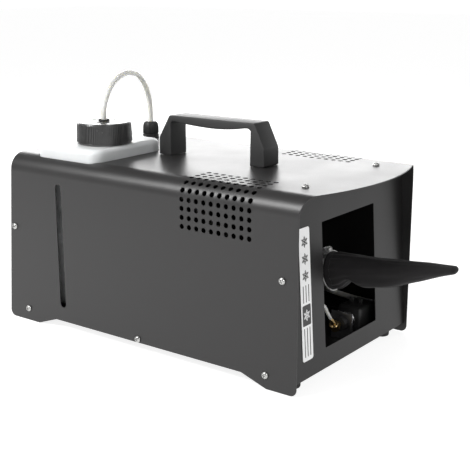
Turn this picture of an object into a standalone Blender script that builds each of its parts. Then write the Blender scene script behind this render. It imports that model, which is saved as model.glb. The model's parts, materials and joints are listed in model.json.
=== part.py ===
"""Foam-flake snow machine: a folded sheet case with a tank, a blower, a pump and a fabric outlet sock.

Metres, +Z up. The outlet faces -Y. The case is drawn about its own middle, and the whole assembly hangs
on one empty, ROOT, that moves it back until the origin is the bottom centre of its bounding box.
"""

import math

import bmesh
import bpy
from mathutils import Matrix, Vector
from mathutils.geometry import delaunay_2d_cdt

# Case, outside sizes
WIDTH = 0.245
HEIGHT = 0.2125
LENGTH = 0.438
BEND = 0.0205
SHEET = 0.0012
GAP = 0.0003
CHASSIS_Z = 0.012
LEG_Z = 0.001
LEG_CORNER = 0.0076
HOOD_REACH = 0.028
REAR_LEAN = 0.0154
ROOT_Y = 0.0579

# Perforations, square pitch over side, bend and top
VENT_PITCH = 0.010
VENT_RADIUS = 0.0029
VENT_FIRST_Y = -0.0686
VENT_LOW_Z = 0.1613
VENT_COUNT = 10

# Leaning end panels
FRONT_FOOT = (0, -0.2153, CHASSIS_Z)
FRONT_ANGLE = math.radians(3.4)
REAR_FOOT = (0, 0.2165, CHASSIS_Z)
REAR_ANGLE = math.radians(4.65)
PANEL_HALF = WIDTH / 2 - SHEET - GAP
PANEL_TOP = 0.1990
FLANGE = 0.0155
WINDOW = (-0.0575, 0.0230, 0.0525, 0.1618)

# Tank and its cap
TANK_LOW = (-0.1090, 0.0700, 0.0152)
TANK_HIGH = (0.0100, 0.1740, 0.2270)
TANK_CORNER = 0.015
TANK_WALL = 0.002
CAP_X = -0.0570
CAP_Y = 0.1060
CAP_Z = 0.2274
CAP_HEIGHT = 0.0257
CAP_RADIUS = 0.0335
NECK_RADIUS = 0.0290

NECK_TOP = 0.2475

# Level slot in the left side, over the tank
SLOT_Y = 0.122
SLOT_Z = 0.1068
SLOT_HALF_RUN = 0.0768
SLOT_HALF_WIDTH = 0.00475

# Feed tube, gland, handle
TUBE_RADIUS = 0.0035
TUBE_START_Z = CAP_Z + CAP_HEIGHT + 0.0025
GLAND_X = 0.0710
GLAND_Y = 0.1447
GLAND_TOP = 0.2345
HANDLE_X = -0.00275
HANDLE_WIDTH = 0.0295
HANDLE_BOLTS = (0.0435, -0.0945)

# Blower line: local +Z runs forward and up out of the window
MOUTH = (0, -0.190, 0.1039)
MOUTH_ANGLE = math.radians(90 - 10.2)
PIPE_RADIUS = 0.020
DRUM_RADIUS = 0.055
MOTOR_RADIUS = 0.034
SHAFT_RADIUS = 0.004
SOCK_LENGTH = 0.147

# Pump and its fittings
PUMP_Y = -0.185
PUMP_Z = 0.034
PUMP_LEFT = 0.018
PUMP_RIGHT = 0.100
ELBOW_X = PUMP_LEFT - 0.0095
ELBOW_LEAN = math.radians(38)
DELIVERY_RADIUS = 0.002
LEAD_RADIUS = 0.003

# Rear panel fittings, in the panel's own x and v
INLET_X = -0.085
INLET_V = 0.040
SWITCH_V = 0.088
SOCKET_X = -0.040
SOCKET_V = 0.040
ROCKER_HALF = 0.0049

# Cover screws as (y, z) on each side, and (x, y) on the top
SIDE_SCREWS = ((0.1845, 0.0165), (0.0, 0.0165), (-0.180, 0.0165), (-0.2005, 0.124), (0.2015, 0.121))
TOP_SCREWS = ((-0.0745, -0.1955), (0.0745, -0.1955), (-0.0745, 0.189), (0.0745, 0.189))
SCREW_HOLE = 0.0022

FOOT_X = 0.098
FOOT_YS = (-0.198, 0.190)


def clear_scene():
    for obj in list(bpy.data.objects):
        bpy.data.objects.remove(obj, do_unlink=True)


def new_collection(name):
    collection = bpy.data.collections.new(name)
    bpy.context.scene.collection.children.link(collection)
    return collection


clear_scene()
PARTS = new_collection("snow_machine")
CUTTERS = new_collection("cutters")
ROOT = bpy.data.objects.new("case_middle", None)
ROOT.location = (0, ROOT_Y, 0)
PARTS.objects.link(ROOT)
bpy.context.view_layer.update()

CASE = Matrix.Identity(4)
FRONT = Matrix.Translation(FRONT_FOOT) @ Matrix.Rotation(math.pi / 2 - FRONT_ANGLE, 4, "X")
REAR = (
    Matrix.Translation(REAR_FOOT)
    @ Matrix.Rotation(math.pi, 4, "Z")
    @ Matrix.Rotation(math.pi / 2 - REAR_ANGLE, 4, "X")
)
BLOWER = Matrix.Translation(MOUTH) @ Matrix.Rotation(MOUTH_ANGLE, 4, "X")


def material(name, colour, roughness, metallic=0.0):
    made = bpy.data.materials.new(name)
    made.use_nodes = True
    shader = made.node_tree.nodes["Principled BSDF"]
    shader.inputs["Base Color"].default_value = (*colour, 1)
    shader.inputs["Roughness"].default_value = roughness
    shader.inputs["Metallic"].default_value = metallic
    return made


BLACK_PAINT = material("black_paint", (0.022, 0.021, 0.021), 0.45)
BLACK_PLASTIC = material("black_plastic", (0.018, 0.018, 0.018), 0.5)
RUBBER = material("rubber", (0.02, 0.02, 0.02), 0.8)
STEEL = material("bright_steel", (0.62, 0.62, 0.6), 0.3, 1.0)
ZINC = material("zinc_plate", (0.5, 0.5, 0.52), 0.42, 1.0)
BRASS = material("brass", (0.72, 0.52, 0.24), 0.35, 1.0)
NATURAL_PLASTIC = material("natural_plastic", (0.80, 0.82, 0.82), 0.4)
CLEAR_TUBE = material("clear_tube", (0.85, 0.84, 0.76), 0.25)
CLOTH = material("black_cloth", (0.03, 0.028, 0.03), 0.9)
BOARD_GREEN = material("circuit_board", (0.03, 0.16, 0.07), 0.5)
LABEL_WHITE = material("label_film", (0.85, 0.85, 0.84), 0.4)


# ---- making and placing ----------------------------------------------------------------------------


def place(name, data, look, frame=CASE, collection=PARTS):
    obj = bpy.data.objects.new(name, data)
    if look is not None:
        data.materials.clear()
        data.materials.append(look)
    collection.objects.link(obj)
    obj.parent = ROOT
    obj.matrix_basis = frame
    if collection is CUTTERS:
        obj.hide_render = True
        obj.display_type = "WIRE"
    return obj


def block(name, low, high, look=None, frame=CASE, collection=PARTS):
    mesh = bpy.data.meshes.new(name)
    low = Vector(low)
    size = Vector(high) - low
    bm = bmesh.new()
    bmesh.ops.create_cube(bm, size=1)
    bmesh.ops.translate(bm, verts=bm.verts, vec=(0.5, 0.5, 0.5))
    bmesh.ops.scale(bm, verts=bm.verts, vec=size)
    bmesh.ops.translate(bm, verts=bm.verts, vec=low)
    bm.to_mesh(mesh)
    bm.free()
    return place(name, mesh, look, frame, collection)


def rod(name, start, end, radius, sides=12, look=None, frame=CASE, collection=PARTS):
    mesh = bpy.data.meshes.new(name)
    start = Vector(start)
    run = Vector(end) - start
    turn = Vector((0, 0, 1)).rotation_difference(run).to_matrix().to_4x4()
    bm = bmesh.new()
    bmesh.ops.create_cone(
        bm, cap_ends=True, segments=sides, radius1=radius, radius2=radius, depth=run.length
    )
    bmesh.ops.transform(bm, matrix=Matrix.Translation(start + run / 2) @ turn, verts=bm.verts)
    bm.to_mesh(mesh)
    bm.free()
    return place(name, mesh, look, frame, collection)


def turned(name, profile, steps, look=None, frame=CASE, collection=PARTS):
    """A profile of (radius, height), from the top down its outer side, turned about local Z."""
    mesh = bpy.data.meshes.new(name)
    points = [(radius, 0, height) for radius, height in profile]
    edges = [(i, i + 1) for i in range(len(points) - 1)]
    if profile[0][0] > 0:
        edges.append((len(points) - 1, 0))
    mesh.from_pydata(points, edges, [])
    obj = place(name, mesh, look, frame, collection)
    screw = obj.modifiers.new("turn", "SCREW")
    screw.steps = steps
    screw.render_steps = steps
    screw.use_merge_vertices = True
    screw.merge_threshold = 0.00001
    screw.use_smooth_shade = False
    return obj


def evaluated_mesh(obj):
    depsgraph = bpy.context.evaluated_depsgraph_get()
    return bpy.data.meshes.new_from_object(obj.evaluated_get(depsgraph))


def as_mesh(obj):
    """A curve object swapped for the mesh that it makes, with its caps welded on."""
    mesh = evaluated_mesh(obj)
    bm = bmesh.new()
    bm.from_mesh(mesh)
    bmesh.ops.remove_doubles(bm, verts=bm.verts, dist=0.000001)
    bm.to_mesh(mesh)
    bm.free()
    name = obj.name
    look = obj.data.materials[0] if obj.data.materials else None
    frame = obj.matrix_basis.copy()
    collection = obj.users_collection[0]
    bpy.data.objects.remove(obj, do_unlink=True)
    return place(name, mesh, look, frame, collection)


def flat(name, outline, holes, thickness, look=None, frame=CASE, collection=PARTS):
    """A flat piece between local z = -thickness and 0, as a mesh."""
    curve = bpy.data.curves.new(name, "CURVE")
    curve.dimensions = "2D"
    curve.fill_mode = "BOTH"
    curve.extrude = thickness / 2
    for loop in (outline, *holes):
        spline = curve.splines.new("POLY")
        spline.points.add(len(loop) - 1)
        spline.use_cyclic_u = True
        for point, (x, y) in zip(spline.points, loop):
            point.co = (x, y, 0, 1)
    obj = as_mesh(place(name, curve, look, frame, collection))
    obj.data.transform(Matrix.Translation((0, 0, -thickness / 2)))
    return obj


def tube(name, points, radius, look=None, frame=CASE):
    curve = bpy.data.curves.new(name, "CURVE")
    curve.dimensions = "3D"
    curve.bevel_depth = radius
    curve.bevel_resolution = 2
    curve.use_fill_caps = True
    spline = curve.splines.new("POLY")
    spline.points.add(len(points) - 1)
    for point, place_on_route in zip(spline.points, points):
        point.co = (*place_on_route, 1)
    return place(name, curve, look, frame)


def smooth_route(route, parts):
    """Points of a Catmull-Rom curve through the route, with the same number of parts in each span."""
    route = [Vector(p) for p in route]
    ends = [route[0] * 2 - route[1], *route, route[-1] * 2 - route[-2]]
    points = []
    for i in range(len(route) - 1):
        a, b, c, d = ends[i : i + 4]
        for k in range(parts):
            t = k / parts
            points.append(
                0.5 * (2 * b + (c - a) * t + (2 * a - 5 * b + 4 * c - d) * t**2
                       + (3 * b - a - 3 * c + d) * t**3)
            )
    points.append(route[-1])
    return points


def combine(target, others, operation):
    for other in others:
        if other.users_collection[0] is not CUTTERS:
            PARTS.objects.unlink(other)
            CUTTERS.objects.link(other)
            other.hide_render = True
            other.display_type = "WIRE"
        step = target.modifiers.new(operation.lower(), "BOOLEAN")
        step.operation = operation
        step.object = other
    return target


def cut(target, *others):
    return combine(target, others, "DIFFERENCE")


def join(target, *others):
    return combine(target, others, "UNION")


def settle(obj):
    """The object with its modifiers applied."""
    mesh = evaluated_mesh(obj)
    obj.modifiers.clear()
    obj.data = mesh
    return obj


def soften(obj, width, segments=2, angle=30):
    bevel = obj.modifiers.new("soften", "BEVEL")
    bevel.width = width
    bevel.segments = segments
    bevel.limit_method = "ANGLE"
    bevel.angle_limit = math.radians(angle)
    return obj


def shade_round(obj, angle=40):
    obj.data.shade_smooth()
    obj.data.set_sharp_from_angle(angle=math.radians(angle))
    return obj


def arc(centre, radius, start, end, steps):
    """Points on an arc, its angles in degrees, both ends included."""
    points = []
    for k in range(steps + 1):
        angle = math.radians(start + (end - start) * k / steps)
        points.append((centre[0] + radius * math.cos(angle), centre[1] + radius * math.sin(angle)))
    return points


def round_box(low, high, radius, steps=4):
    """A rectangle with rounded corners, anticlockwise."""
    corners = (
        (high[0] - radius, high[1] - radius, 0),
        (low[0] + radius, high[1] - radius, 90),
        (low[0] + radius, low[1] + radius, 180),
        (high[0] - radius, low[1] + radius, 270),
    )
    points = []
    for x, y, start in corners:
        points += arc((x, y), radius, start, start + 90, steps)
    return points


def circle(x, y, radius, sides):
    return arc((x, y), radius, 0, 360 - 360 / sides, sides - 1)


# ---- cover: one sheet with its flat pattern drawn, cut and folded ----------------------------------

FLAT_HALF = WIDTH / 2 - BEND
NEUTRAL = BEND - SHEET / 2
FOLDS = 4
BEND_RUN = NEUTRAL * math.pi / 2
SIDE_TOP = HEIGHT - BEND


def unfold(z):
    """Distance from the middle of the flat pattern to height z on a side."""
    return FLAT_HALF + BEND_RUN + SIDE_TOP - z


def unfold_x(x):
    """Distance from the middle of the flat pattern to x on the top or in the bend."""
    if abs(x) <= FLAT_HALF:
        return x
    angle = math.asin((abs(x) - FLAT_HALF) / NEUTRAL)
    return math.copysign(FLAT_HALF + NEUTRAL * angle, x)


def folded(t, y):
    """The flat pattern's point (t, y) on the outside of the folded cover."""
    run = abs(t)
    if run <= FLAT_HALF:
        return (t, y, HEIGHT)
    if run <= FLAT_HALF + BEND_RUN:
        angle = (run - FLAT_HALF) / NEUTRAL
        x = FLAT_HALF + BEND * math.sin(angle)
        return (math.copysign(x, t), y, SIDE_TOP + BEND * math.cos(angle))
    return (math.copysign(WIDTH / 2, t), y, SIDE_TOP - (run - FLAT_HALF - BEND_RUN))


def fold_lines():
    """Lines across the flat pattern that the bends are folded along."""
    lines = []
    for side in (-1, 1):
        for k in range(FOLDS + 1):
            t = side * (FLAT_HALF + BEND_RUN * k / FOLDS)
            lines.append(((t, -LENGTH), (t, LENGTH)))
    return lines


def fill(loops, lines):
    """Triangles between the first loop and the other loops in it, split along the lines."""
    points = []
    edges = []
    faces = []
    for loop in loops:
        first = len(points)
        faces.append(list(range(first, first + len(loop))))
        points += [Vector(p) for p in loop]
    for line in lines:
        edges.append((len(points), len(points) + 1))
        points += [Vector(p) for p in line]
    found = delaunay_2d_cdt(points, edges, faces, 1, 0.000001)
    kept = [list(face) for face, sources in zip(found[2], found[5]) if list(sources) == [0]]
    used = sorted({i for face in kept for i in face})
    order = {old: new for new, old in enumerate(used)}
    return [found[0][i] for i in used], [[order[i] for i in face] for face in kept]


def hood_y(x):
    """The bowed front edge of the hood."""
    half = WIDTH / 2
    radius = (half**2 + HOOD_REACH**2) / (2 * HOOD_REACH)
    middle = -LENGTH / 2 - HOOD_REACH + radius
    return middle - math.sqrt(radius**2 - min(x, half) ** 2)


def rear_y(z):
    """The rear edge of the cover, which leans forward as it rises."""
    return LENGTH / 2 - REAR_LEAN * min(z, SIDE_TOP) / SIDE_TOP


def cover_half_outline():
    """Half of the flat pattern, from the middle of the hood down one side and back up to the rear."""
    front = -LENGTH / 2
    points = [(0.017 * k, hood_y(0.017 * k)) for k in range(7)]
    for k in range(1, 4):
        angle = k * math.pi / 6
        x = FLAT_HALF + NEUTRAL * math.sin(angle)
        points.append((FLAT_HALF + NEUTRAL * angle, hood_y(x)))
    corner = LEG_CORNER
    foot = unfold(LEG_Z)
    points += arc((foot - corner, front + corner), corner, -90, 0, 3)
    points += [(foot, -0.181), (unfold(CHASSIS_Z), -0.148), (unfold(CHASSIS_Z), 0.1354), (foot, 0.1666)]
    rear = rear_y(LEG_Z)
    points += arc((foot - corner, rear - corner), corner, 0, 90, 3)
    points += [(unfold(SIDE_TOP), rear_y(SIDE_TOP))]
    return points


def vent_holes():
    first = unfold(VENT_LOW_Z)
    holes = []
    for side in (-1, 1):
        for row in range(VENT_COUNT):
            t = side * (first - row * VENT_PITCH)
            for column in range(VENT_COUNT):
                holes.append(circle(t, VENT_FIRST_Y - column * VENT_PITCH, VENT_RADIUS, 6))
    return holes


def tank_opening():
    margin = 0.0007
    low = (unfold_x(TANK_LOW[0] - margin), TANK_LOW[1] - margin)
    high = (unfold_x(TANK_HIGH[0] + margin), TANK_HIGH[1] + margin)
    return round_box(low, high, TANK_CORNER + margin)


def level_slot():
    t = -unfold(SLOT_Z)
    low = (t - SLOT_HALF_RUN, SLOT_Y - SLOT_HALF_WIDTH)
    high = (t + SLOT_HALF_RUN, SLOT_Y + SLOT_HALF_WIDTH)
    return round_box(low, high, SLOT_HALF_WIDTH * 0.99, 3)


def make_cover():
    half = cover_half_outline()
    outline = half + [(-t, y) for t, y in reversed(half[1:])]
    holes = vent_holes() + [tank_opening(), level_slot()]
    holes.append(circle(GLAND_X, GLAND_Y, 0.0078, 12))
    for y in HANDLE_BOLTS:
        holes.append(circle(HANDLE_X, y, 0.0027, 8))
    for y, z in SIDE_SCREWS:
        for side in (-1, 1):
            holes.append(circle(side * unfold(z), y, SCREW_HOLE, 8))
    for x, y in TOP_SCREWS:
        holes.append(circle(x, y, SCREW_HOLE, 8))
    points, triangles = fill([outline, *holes], fold_lines())
    mesh = bpy.data.meshes.new("cover")
    mesh.from_pydata([folded(t, y) for t, y in points], [], triangles)
    cover = place("cover", mesh, BLACK_PAINT)
    wall = cover.modifiers.new("wall", "SOLIDIFY")
    wall.thickness = SHEET
    wall.offset = -1
    wall.use_even_offset = True
    settle(cover)
    shade_round(cover, 25)


# ---- chassis: base tray, front panel with the window, rear panel -----------------------------------


def side_holes(points, name, frame=CASE):
    """Cutters along X through both side flanges, at each (y, z)."""
    return [
        rod(f"{name}_{i}", (-WIDTH, y, z), (WIDTH, y, z), SCREW_HOLE, 8, None, frame, CUTTERS)
        for i, (y, z) in enumerate(points)
    ]


def top_holes(points, name):
    return [
        rod(f"{name}_{i}", (x, y, 0.19), (x, y, 0.22), SCREW_HOLE, 8, None, CASE, CUTTERS)
        for i, (x, y) in enumerate(points)
    ]


def make_base_tray():
    low_y = -0.2125
    high_y = 0.2130
    rim_z = CHASSIS_Z + 0.0125
    tray = block("base_tray", (-PANEL_HALF, low_y, CHASSIS_Z), (PANEL_HALF, high_y, rim_z), BLACK_PAINT)
    inner = PANEL_HALF - SHEET
    hollow = block(
        "tray_hollow", (-inner, low_y - 0.01, CHASSIS_Z + SHEET), (inner, high_y + 0.01, 0.05),
        None, CASE, CUTTERS,
    )
    feet = [
        rod(f"foot_hole_{i}", (x, y, 0), (x, y, 0.03), 0.0034, 10, None, CASE, CUTTERS)
        for i, (x, y) in enumerate(foot_places())
    ]
    low_screws = [point for point in SIDE_SCREWS if point[1] < 0.03]
    cut(tray, hollow, *feet, *side_holes(low_screws, "tray_hole"))
    settle(tray)


def panel_outline():
    corner = 0.019
    outline = [(-PANEL_HALF, 0), (PANEL_HALF, 0)]
    outline += arc((PANEL_HALF - corner, PANEL_TOP - corner), corner, 0, 90, 5)
    outline += arc((corner - PANEL_HALF, PANEL_TOP - corner), corner, 90, 180, 5)
    return outline


def panel_flanges(name, frame):
    """Flanges folded back from a panel's four edges, as boxes that overlap the sheet."""
    back = -FLANGE
    face = -SHEET / 2
    inner = PANEL_HALF - SHEET
    pieces = [
        block(f"{name}_bottom", (-0.105, 0.0032, back), (0.105, 0.0032 + SHEET, face), None, frame),
        block(f"{name}_top", (-0.095, 0.1966, back), (0.095, 0.1966 + SHEET, face), None, frame),
    ]
    for side in (-1, 1):
        edges = sorted((side * inner, side * PANEL_HALF))
        low = (edges[0], 0.0155, back)
        high = (edges[1], 0.1750, face)
        pieces.append(block(f"{name}_side_{side}", low, high, None, frame))
    return pieces


def make_front_panel():
    x0, v0, x1, v1 = WINDOW
    window = round_box((x0, v0), (x1, v1), 0.0015, 2)
    panel = flat("front_panel", panel_outline(), [window], SHEET, BLACK_PAINT, FRONT)
    join(panel, *panel_flanges("front_flange", FRONT))
    screws = side_holes([SIDE_SCREWS[3]], "front_hole")
    cut(panel, *screws, *top_holes(TOP_SCREWS[:2], "front_top_hole"))
    settle(panel)


def panel_cutout(x, v, half_x, half_v):
    return round_box((x - half_x, v - half_v), (x + half_x, v + half_v), 0.0007, 2)


def make_rear_panel():
    inlet = panel_cutout(INLET_X, INLET_V, 0.0138, 0.0158)
    switch = panel_cutout(INLET_X, SWITCH_V, 0.0097, 0.0068)
    socket = circle(SOCKET_X, SOCKET_V, 0.0083, 16)
    panel = flat("rear_panel", panel_outline(), [inlet, switch, socket], SHEET, BLACK_PAINT, REAR)
    join(panel, *panel_flanges("rear_flange", REAR))
    screws = side_holes([SIDE_SCREWS[4]], "rear_hole")
    cut(panel, *screws, *top_holes(TOP_SCREWS[2:], "rear_top_hole"))
    settle(panel)


def foot_places():
    return [(x, y) for y in FOOT_YS for x in (-FOOT_X, FOOT_X)]


def make_feet():
    top = CHASSIS_Z - GAP
    profile = [
        (0, 0.0138), (0.003, 0.0138), (0.003, top), (0.009, top), (0.009, 0.002), (0.0082, 0), (0, 0),
    ]
    names = ("foot_front_left", "foot_front_right", "foot_rear_left", "foot_rear_right")
    for name, (x, y) in zip(names, foot_places()):
        foot = turned(name, profile, 16, RUBBER, Matrix.Translation((x, y, 0)))
        shade_round(settle(foot))


# ---- fasteners --------------------------------------------------------------------------------------


def screw_mesh():
    """One pan-head machine screw with a cross recess, its head on +Z and its seat at z = 0."""
    profile = [
        (0, 0.0026), (0.0034, 0.0019), (0.004, 0), (0.0019, 0), (0.0019, -0.006), (0, -0.006),
    ]
    screw = turned("screw_pattern", profile, 10, None, CASE, CUTTERS)
    slots = [
        block(f"recess_{i}", (-a, -b, 0.0012), (a, b, 0.004), None, CASE, CUTTERS)
        for i, (a, b) in enumerate(((0.0021, 0.0005), (0.0005, 0.0021)))
    ]
    join(slots[0], slots[1])
    cut(screw, slots[0])
    mesh = evaluated_mesh(screw)
    mesh.materials.clear()
    mesh.shade_smooth()
    mesh.set_sharp_from_angle(angle=math.radians(35))
    return mesh


def make_screws():
    mesh = screw_mesh()
    near = Matrix.Rotation(-math.pi / 2, 4, "Y")
    far = Matrix.Rotation(math.pi / 2, 4, "Y")
    places = ("low_rear", "low_middle", "low_front", "high_front", "high_rear")
    for place_name, (y, z) in zip(places, SIDE_SCREWS):
        seat = WIDTH / 2 + GAP
        place(f"screw_left_{place_name}", mesh, STEEL, Matrix.Translation((-seat, y, z)) @ near)
        place(f"screw_right_{place_name}", mesh, STEEL, Matrix.Translation((seat, y, z)) @ far)
    tops = ("front_left", "front_right", "rear_left", "rear_right")
    for place_name, (x, y) in zip(tops, TOP_SCREWS):
        place(f"screw_top_{place_name}", mesh, STEEL, Matrix.Translation((x, y, HEIGHT + GAP)))


# ---- tank, cap and feed tube ------------------------------------------------------------------------


def tank_body(name, inset, collection):
    low = (TANK_LOW[0] + inset, TANK_LOW[1] + inset)
    high = (TANK_HIGH[0] - inset, TANK_HIGH[1] - inset)
    height = TANK_HIGH[2] - TANK_LOW[2] - 2 * inset
    outline = round_box(low, high, TANK_CORNER - inset, 4)
    frame = Matrix.Translation((0, 0, TANK_HIGH[2] - inset))
    body = flat(name, outline, [], height, NATURAL_PLASTIC, frame, collection)
    soften(body, 0.006 - inset / 2, 2, 60)
    return body


def make_tank():
    tank = tank_body("tank", 0, PARTS)
    hollow = tank_body("tank_hollow", TANK_WALL, CUTTERS)
    top = TANK_HIGH[2]
    neck = rod("tank_neck", (CAP_X, CAP_Y, top - 0.006), (CAP_X, CAP_Y, NECK_TOP), NECK_RADIUS, 32)
    bore = rod(
        "tank_bore", (CAP_X, CAP_Y, top - 0.012), (CAP_X, CAP_Y, NECK_TOP + 0.01), NECK_RADIUS - 0.0025,
        32, None, CASE, CUTTERS,
    )
    join(tank, neck)
    cut(tank, hollow, bore)
    settle(tank)
    shade_round(tank, 35)


def make_tank_cradle():
    margin = 0.0006
    low = (TANK_LOW[0] - margin - SHEET, TANK_LOW[1] - margin - SHEET, CHASSIS_Z + SHEET + GAP)
    high = (TANK_HIGH[0] + margin + SHEET, TANK_HIGH[1] + margin + SHEET, 0.030)
    cradle = block("tank_cradle", low, high, ZINC)
    hollow = block(
        "cradle_hollow", (TANK_LOW[0] - margin, TANK_LOW[1] - margin, low[2] + SHEET),
        (TANK_HIGH[0] + margin, TANK_HIGH[1] + margin, 0.05), None, CASE, CUTTERS,
    )
    cut(cradle, hollow)
    settle(cradle)


def make_cap():
    frame = Matrix.Translation((CAP_X, CAP_Y, CAP_Z))
    top = CAP_HEIGHT
    deck = top - 0.0025
    outer = CAP_RADIUS
    inner = NECK_RADIUS + 0.0008
    hole = 0.0052
    profile = [
        (hole, top), (outer - 0.0020, top), (outer - 0.0012, top - 0.0008), (outer, 0.0010),
        (outer - 0.0005, 0), (inner, 0), (inner, deck), (hole, deck),
    ]
    cap = turned("tank_cap", profile, 30, BLACK_PLASTIC, frame)
    shade_round(settle(cap))
    rim = NECK_TOP - CAP_Z + GAP
    ring = [(0.0255, deck - GAP), (0.0280, deck - GAP), (0.0280, rim), (0.0255, rim)]
    settle(turned("cap_seal", ring, 32, RUBBER, frame))
    bore = TUBE_RADIUS + 0.0009
    waist = hole - GAP
    lip = deck - 0.0018
    profile = [
        (bore, top + 0.0022), (0.0062, top + 0.0022), (0.0070, top + 0.0014), (0.0070, top + GAP),
        (waist, top + GAP), (waist, deck - GAP), (0.0066, deck - GAP), (0.0066, lip), (bore, lip),
    ]
    grommet = turned("cap_grommet", profile, 16, RUBBER, frame)
    shade_round(settle(grommet))


# Distance from the cap's middle towards the gland, and height
FEED_ROUTE = (
    (0.000, TUBE_START_Z), (0.000, 0.2672), (0.0065, 0.2795), (0.0190, 0.2920), (0.0370, 0.3005),
    (0.0590, 0.3045), (0.0790, 0.3040), (0.0980, 0.2995), (0.1140, 0.2890), (0.1250, 0.2760),
    (0.1315, 0.2625), (0.13376, 0.2490), (0.13376, GLAND_TOP + GAP),
)
PUMP_ROUTE = (
    (GLAND_X, GLAND_Y, GLAND_TOP), (GLAND_X, GLAND_Y, 0.215), (GLAND_X, GLAND_Y, 0.195),
    (0.073, 0.132, 0.165), (0.088, 0.070, 0.112), (0.100, 0.000, 0.075), (0.106, -0.060, 0.052),
    (0.109, -0.120, 0.038), (0.1100, -0.160, 0.034), (0.1095, -0.1790, PUMP_Z), (0.1060, PUMP_Y, PUMP_Z),
    (PUMP_RIGHT + 2 * GAP, PUMP_Y, PUMP_Z),
)


def make_tubes():
    reach = Vector((GLAND_X - CAP_X, GLAND_Y - CAP_Y, 0))
    along = reach.normalized()
    stretch = reach.length / FEED_ROUTE[-1][0]
    start = Vector((CAP_X, CAP_Y, 0))
    route = [start + along * s * stretch + Vector((0, 0, z)) for s, z in FEED_ROUTE]
    tube("feed_tube", smooth_route(route, 2), TUBE_RADIUS, CLEAR_TUBE)
    suction = [(CAP_X, CAP_Y, TUBE_START_Z - GAP), (CAP_X, CAP_Y, 0.14), (CAP_X, CAP_Y, 0.0490)]
    tube("suction_tube", suction, TUBE_RADIUS, CLEAR_TUBE)
    profile = [
        (0, 0.0487), (0.007, 0.0487), (0.009, 0.046), (0.009, 0.022), (0.007, 0.0195), (0, 0.0195),
    ]
    strainer = turned("suction_filter", profile, 14, ZINC, Matrix.Translation((CAP_X, CAP_Y, 0)))
    shade_round(settle(strainer))
    tube("pump_tube", smooth_route(PUMP_ROUTE, 3), TUBE_RADIUS, CLEAR_TUBE)


def make_gland():
    frame = Matrix.Translation((GLAND_X, GLAND_Y, 0))
    under = HEIGHT - SHEET
    bore = 0.0046
    body_profile = [
        (bore, 0.2262), (0.0078, 0.2262), (0.0078, 0.2180), (0.0108, 0.2180), (0.0108, HEIGHT + GAP),
        (0.0074, HEIGHT + GAP), (0.0074, 0.2015), (bore, 0.2015),
    ]
    body = turned("gland_body", body_profile, 18, BLACK_PLASTIC, frame)
    shade_round(settle(body))
    nut_profile = [
        (0.0040, GLAND_TOP), (0.0072, GLAND_TOP), (0.0088, GLAND_TOP - 0.0014),
        (0.0102, GLAND_TOP - 0.006), (0.0105, 0.2183), (0.0083, 0.2183), (0.0083, 0.2270),
        (0.0040, 0.2300),
    ]
    nut = turned("gland_nut", nut_profile, 18, BLACK_PLASTIC, frame)
    shade_round(settle(nut))
    locknut_profile = [(0.0079, under - GAP), (0.0112, under - GAP), (0.0112, 0.2065), (0.0079, 0.2065)]
    locknut = turned("gland_locknut", locknut_profile, 18, BLACK_PLASTIC, frame)
    settle(locknut)


# ---- handle -----------------------------------------------------------------------------------------


def make_handle():
    base = HEIGHT + GAP
    outline = [(0.0530, base), (0.0526, 0.2342), (0.0364, 0.2614), (-0.0890, 0.2620), (-0.1028, 0.2340)]
    outline += [(-0.1032, base), (-0.0850, base), (-0.0850, 0.2500)]
    outline += [(-0.0835, 0.2535), (-0.0780, 0.2553), (-0.0580, 0.2525)]
    outline += [(-0.0350, 0.2508), (-0.0100, 0.2512), (0.0110, 0.2525), (0.0340, 0.2542), (0.0342, base)]
    frame = (
        Matrix.Translation((HANDLE_X + HANDLE_WIDTH / 2, 0, 0))
        @ Matrix.Rotation(math.pi / 2, 4, "Z")
        @ Matrix.Rotation(math.pi / 2, 4, "X")
    )
    handle = flat("handle", outline, [], HANDLE_WIDTH, BLACK_PLASTIC, frame)
    soften(handle, 0.0012, 1, 50)
    for i, y in enumerate(HANDLE_BOLTS):
        ends = (HANDLE_X, y, 0.2), (HANDLE_X, y, base + 0.016)
        cut(handle, rod(f"handle_bore_{i}", *ends, 0.0028, 10, None, CASE, CUTTERS))
    settle(handle)
    seat = HEIGHT - SHEET - GAP
    profile = [
        (0, 0.2265), (0.0024, 0.2265), (0.0024, seat), (0.0050, seat), (0.0050, seat - 0.0022),
        (0.0035, seat - 0.0030), (0, seat - 0.0030),
    ]
    for name, y in zip(("handle_bolt_rear", "handle_bolt_front"), HANDLE_BOLTS):
        bolt = turned(name, profile, 12, ZINC, Matrix.Translation((HANDLE_X, y, 0)))
        shade_round(settle(bolt))


# ---- blower, outlet and sock ------------------------------------------------------------------------


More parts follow.
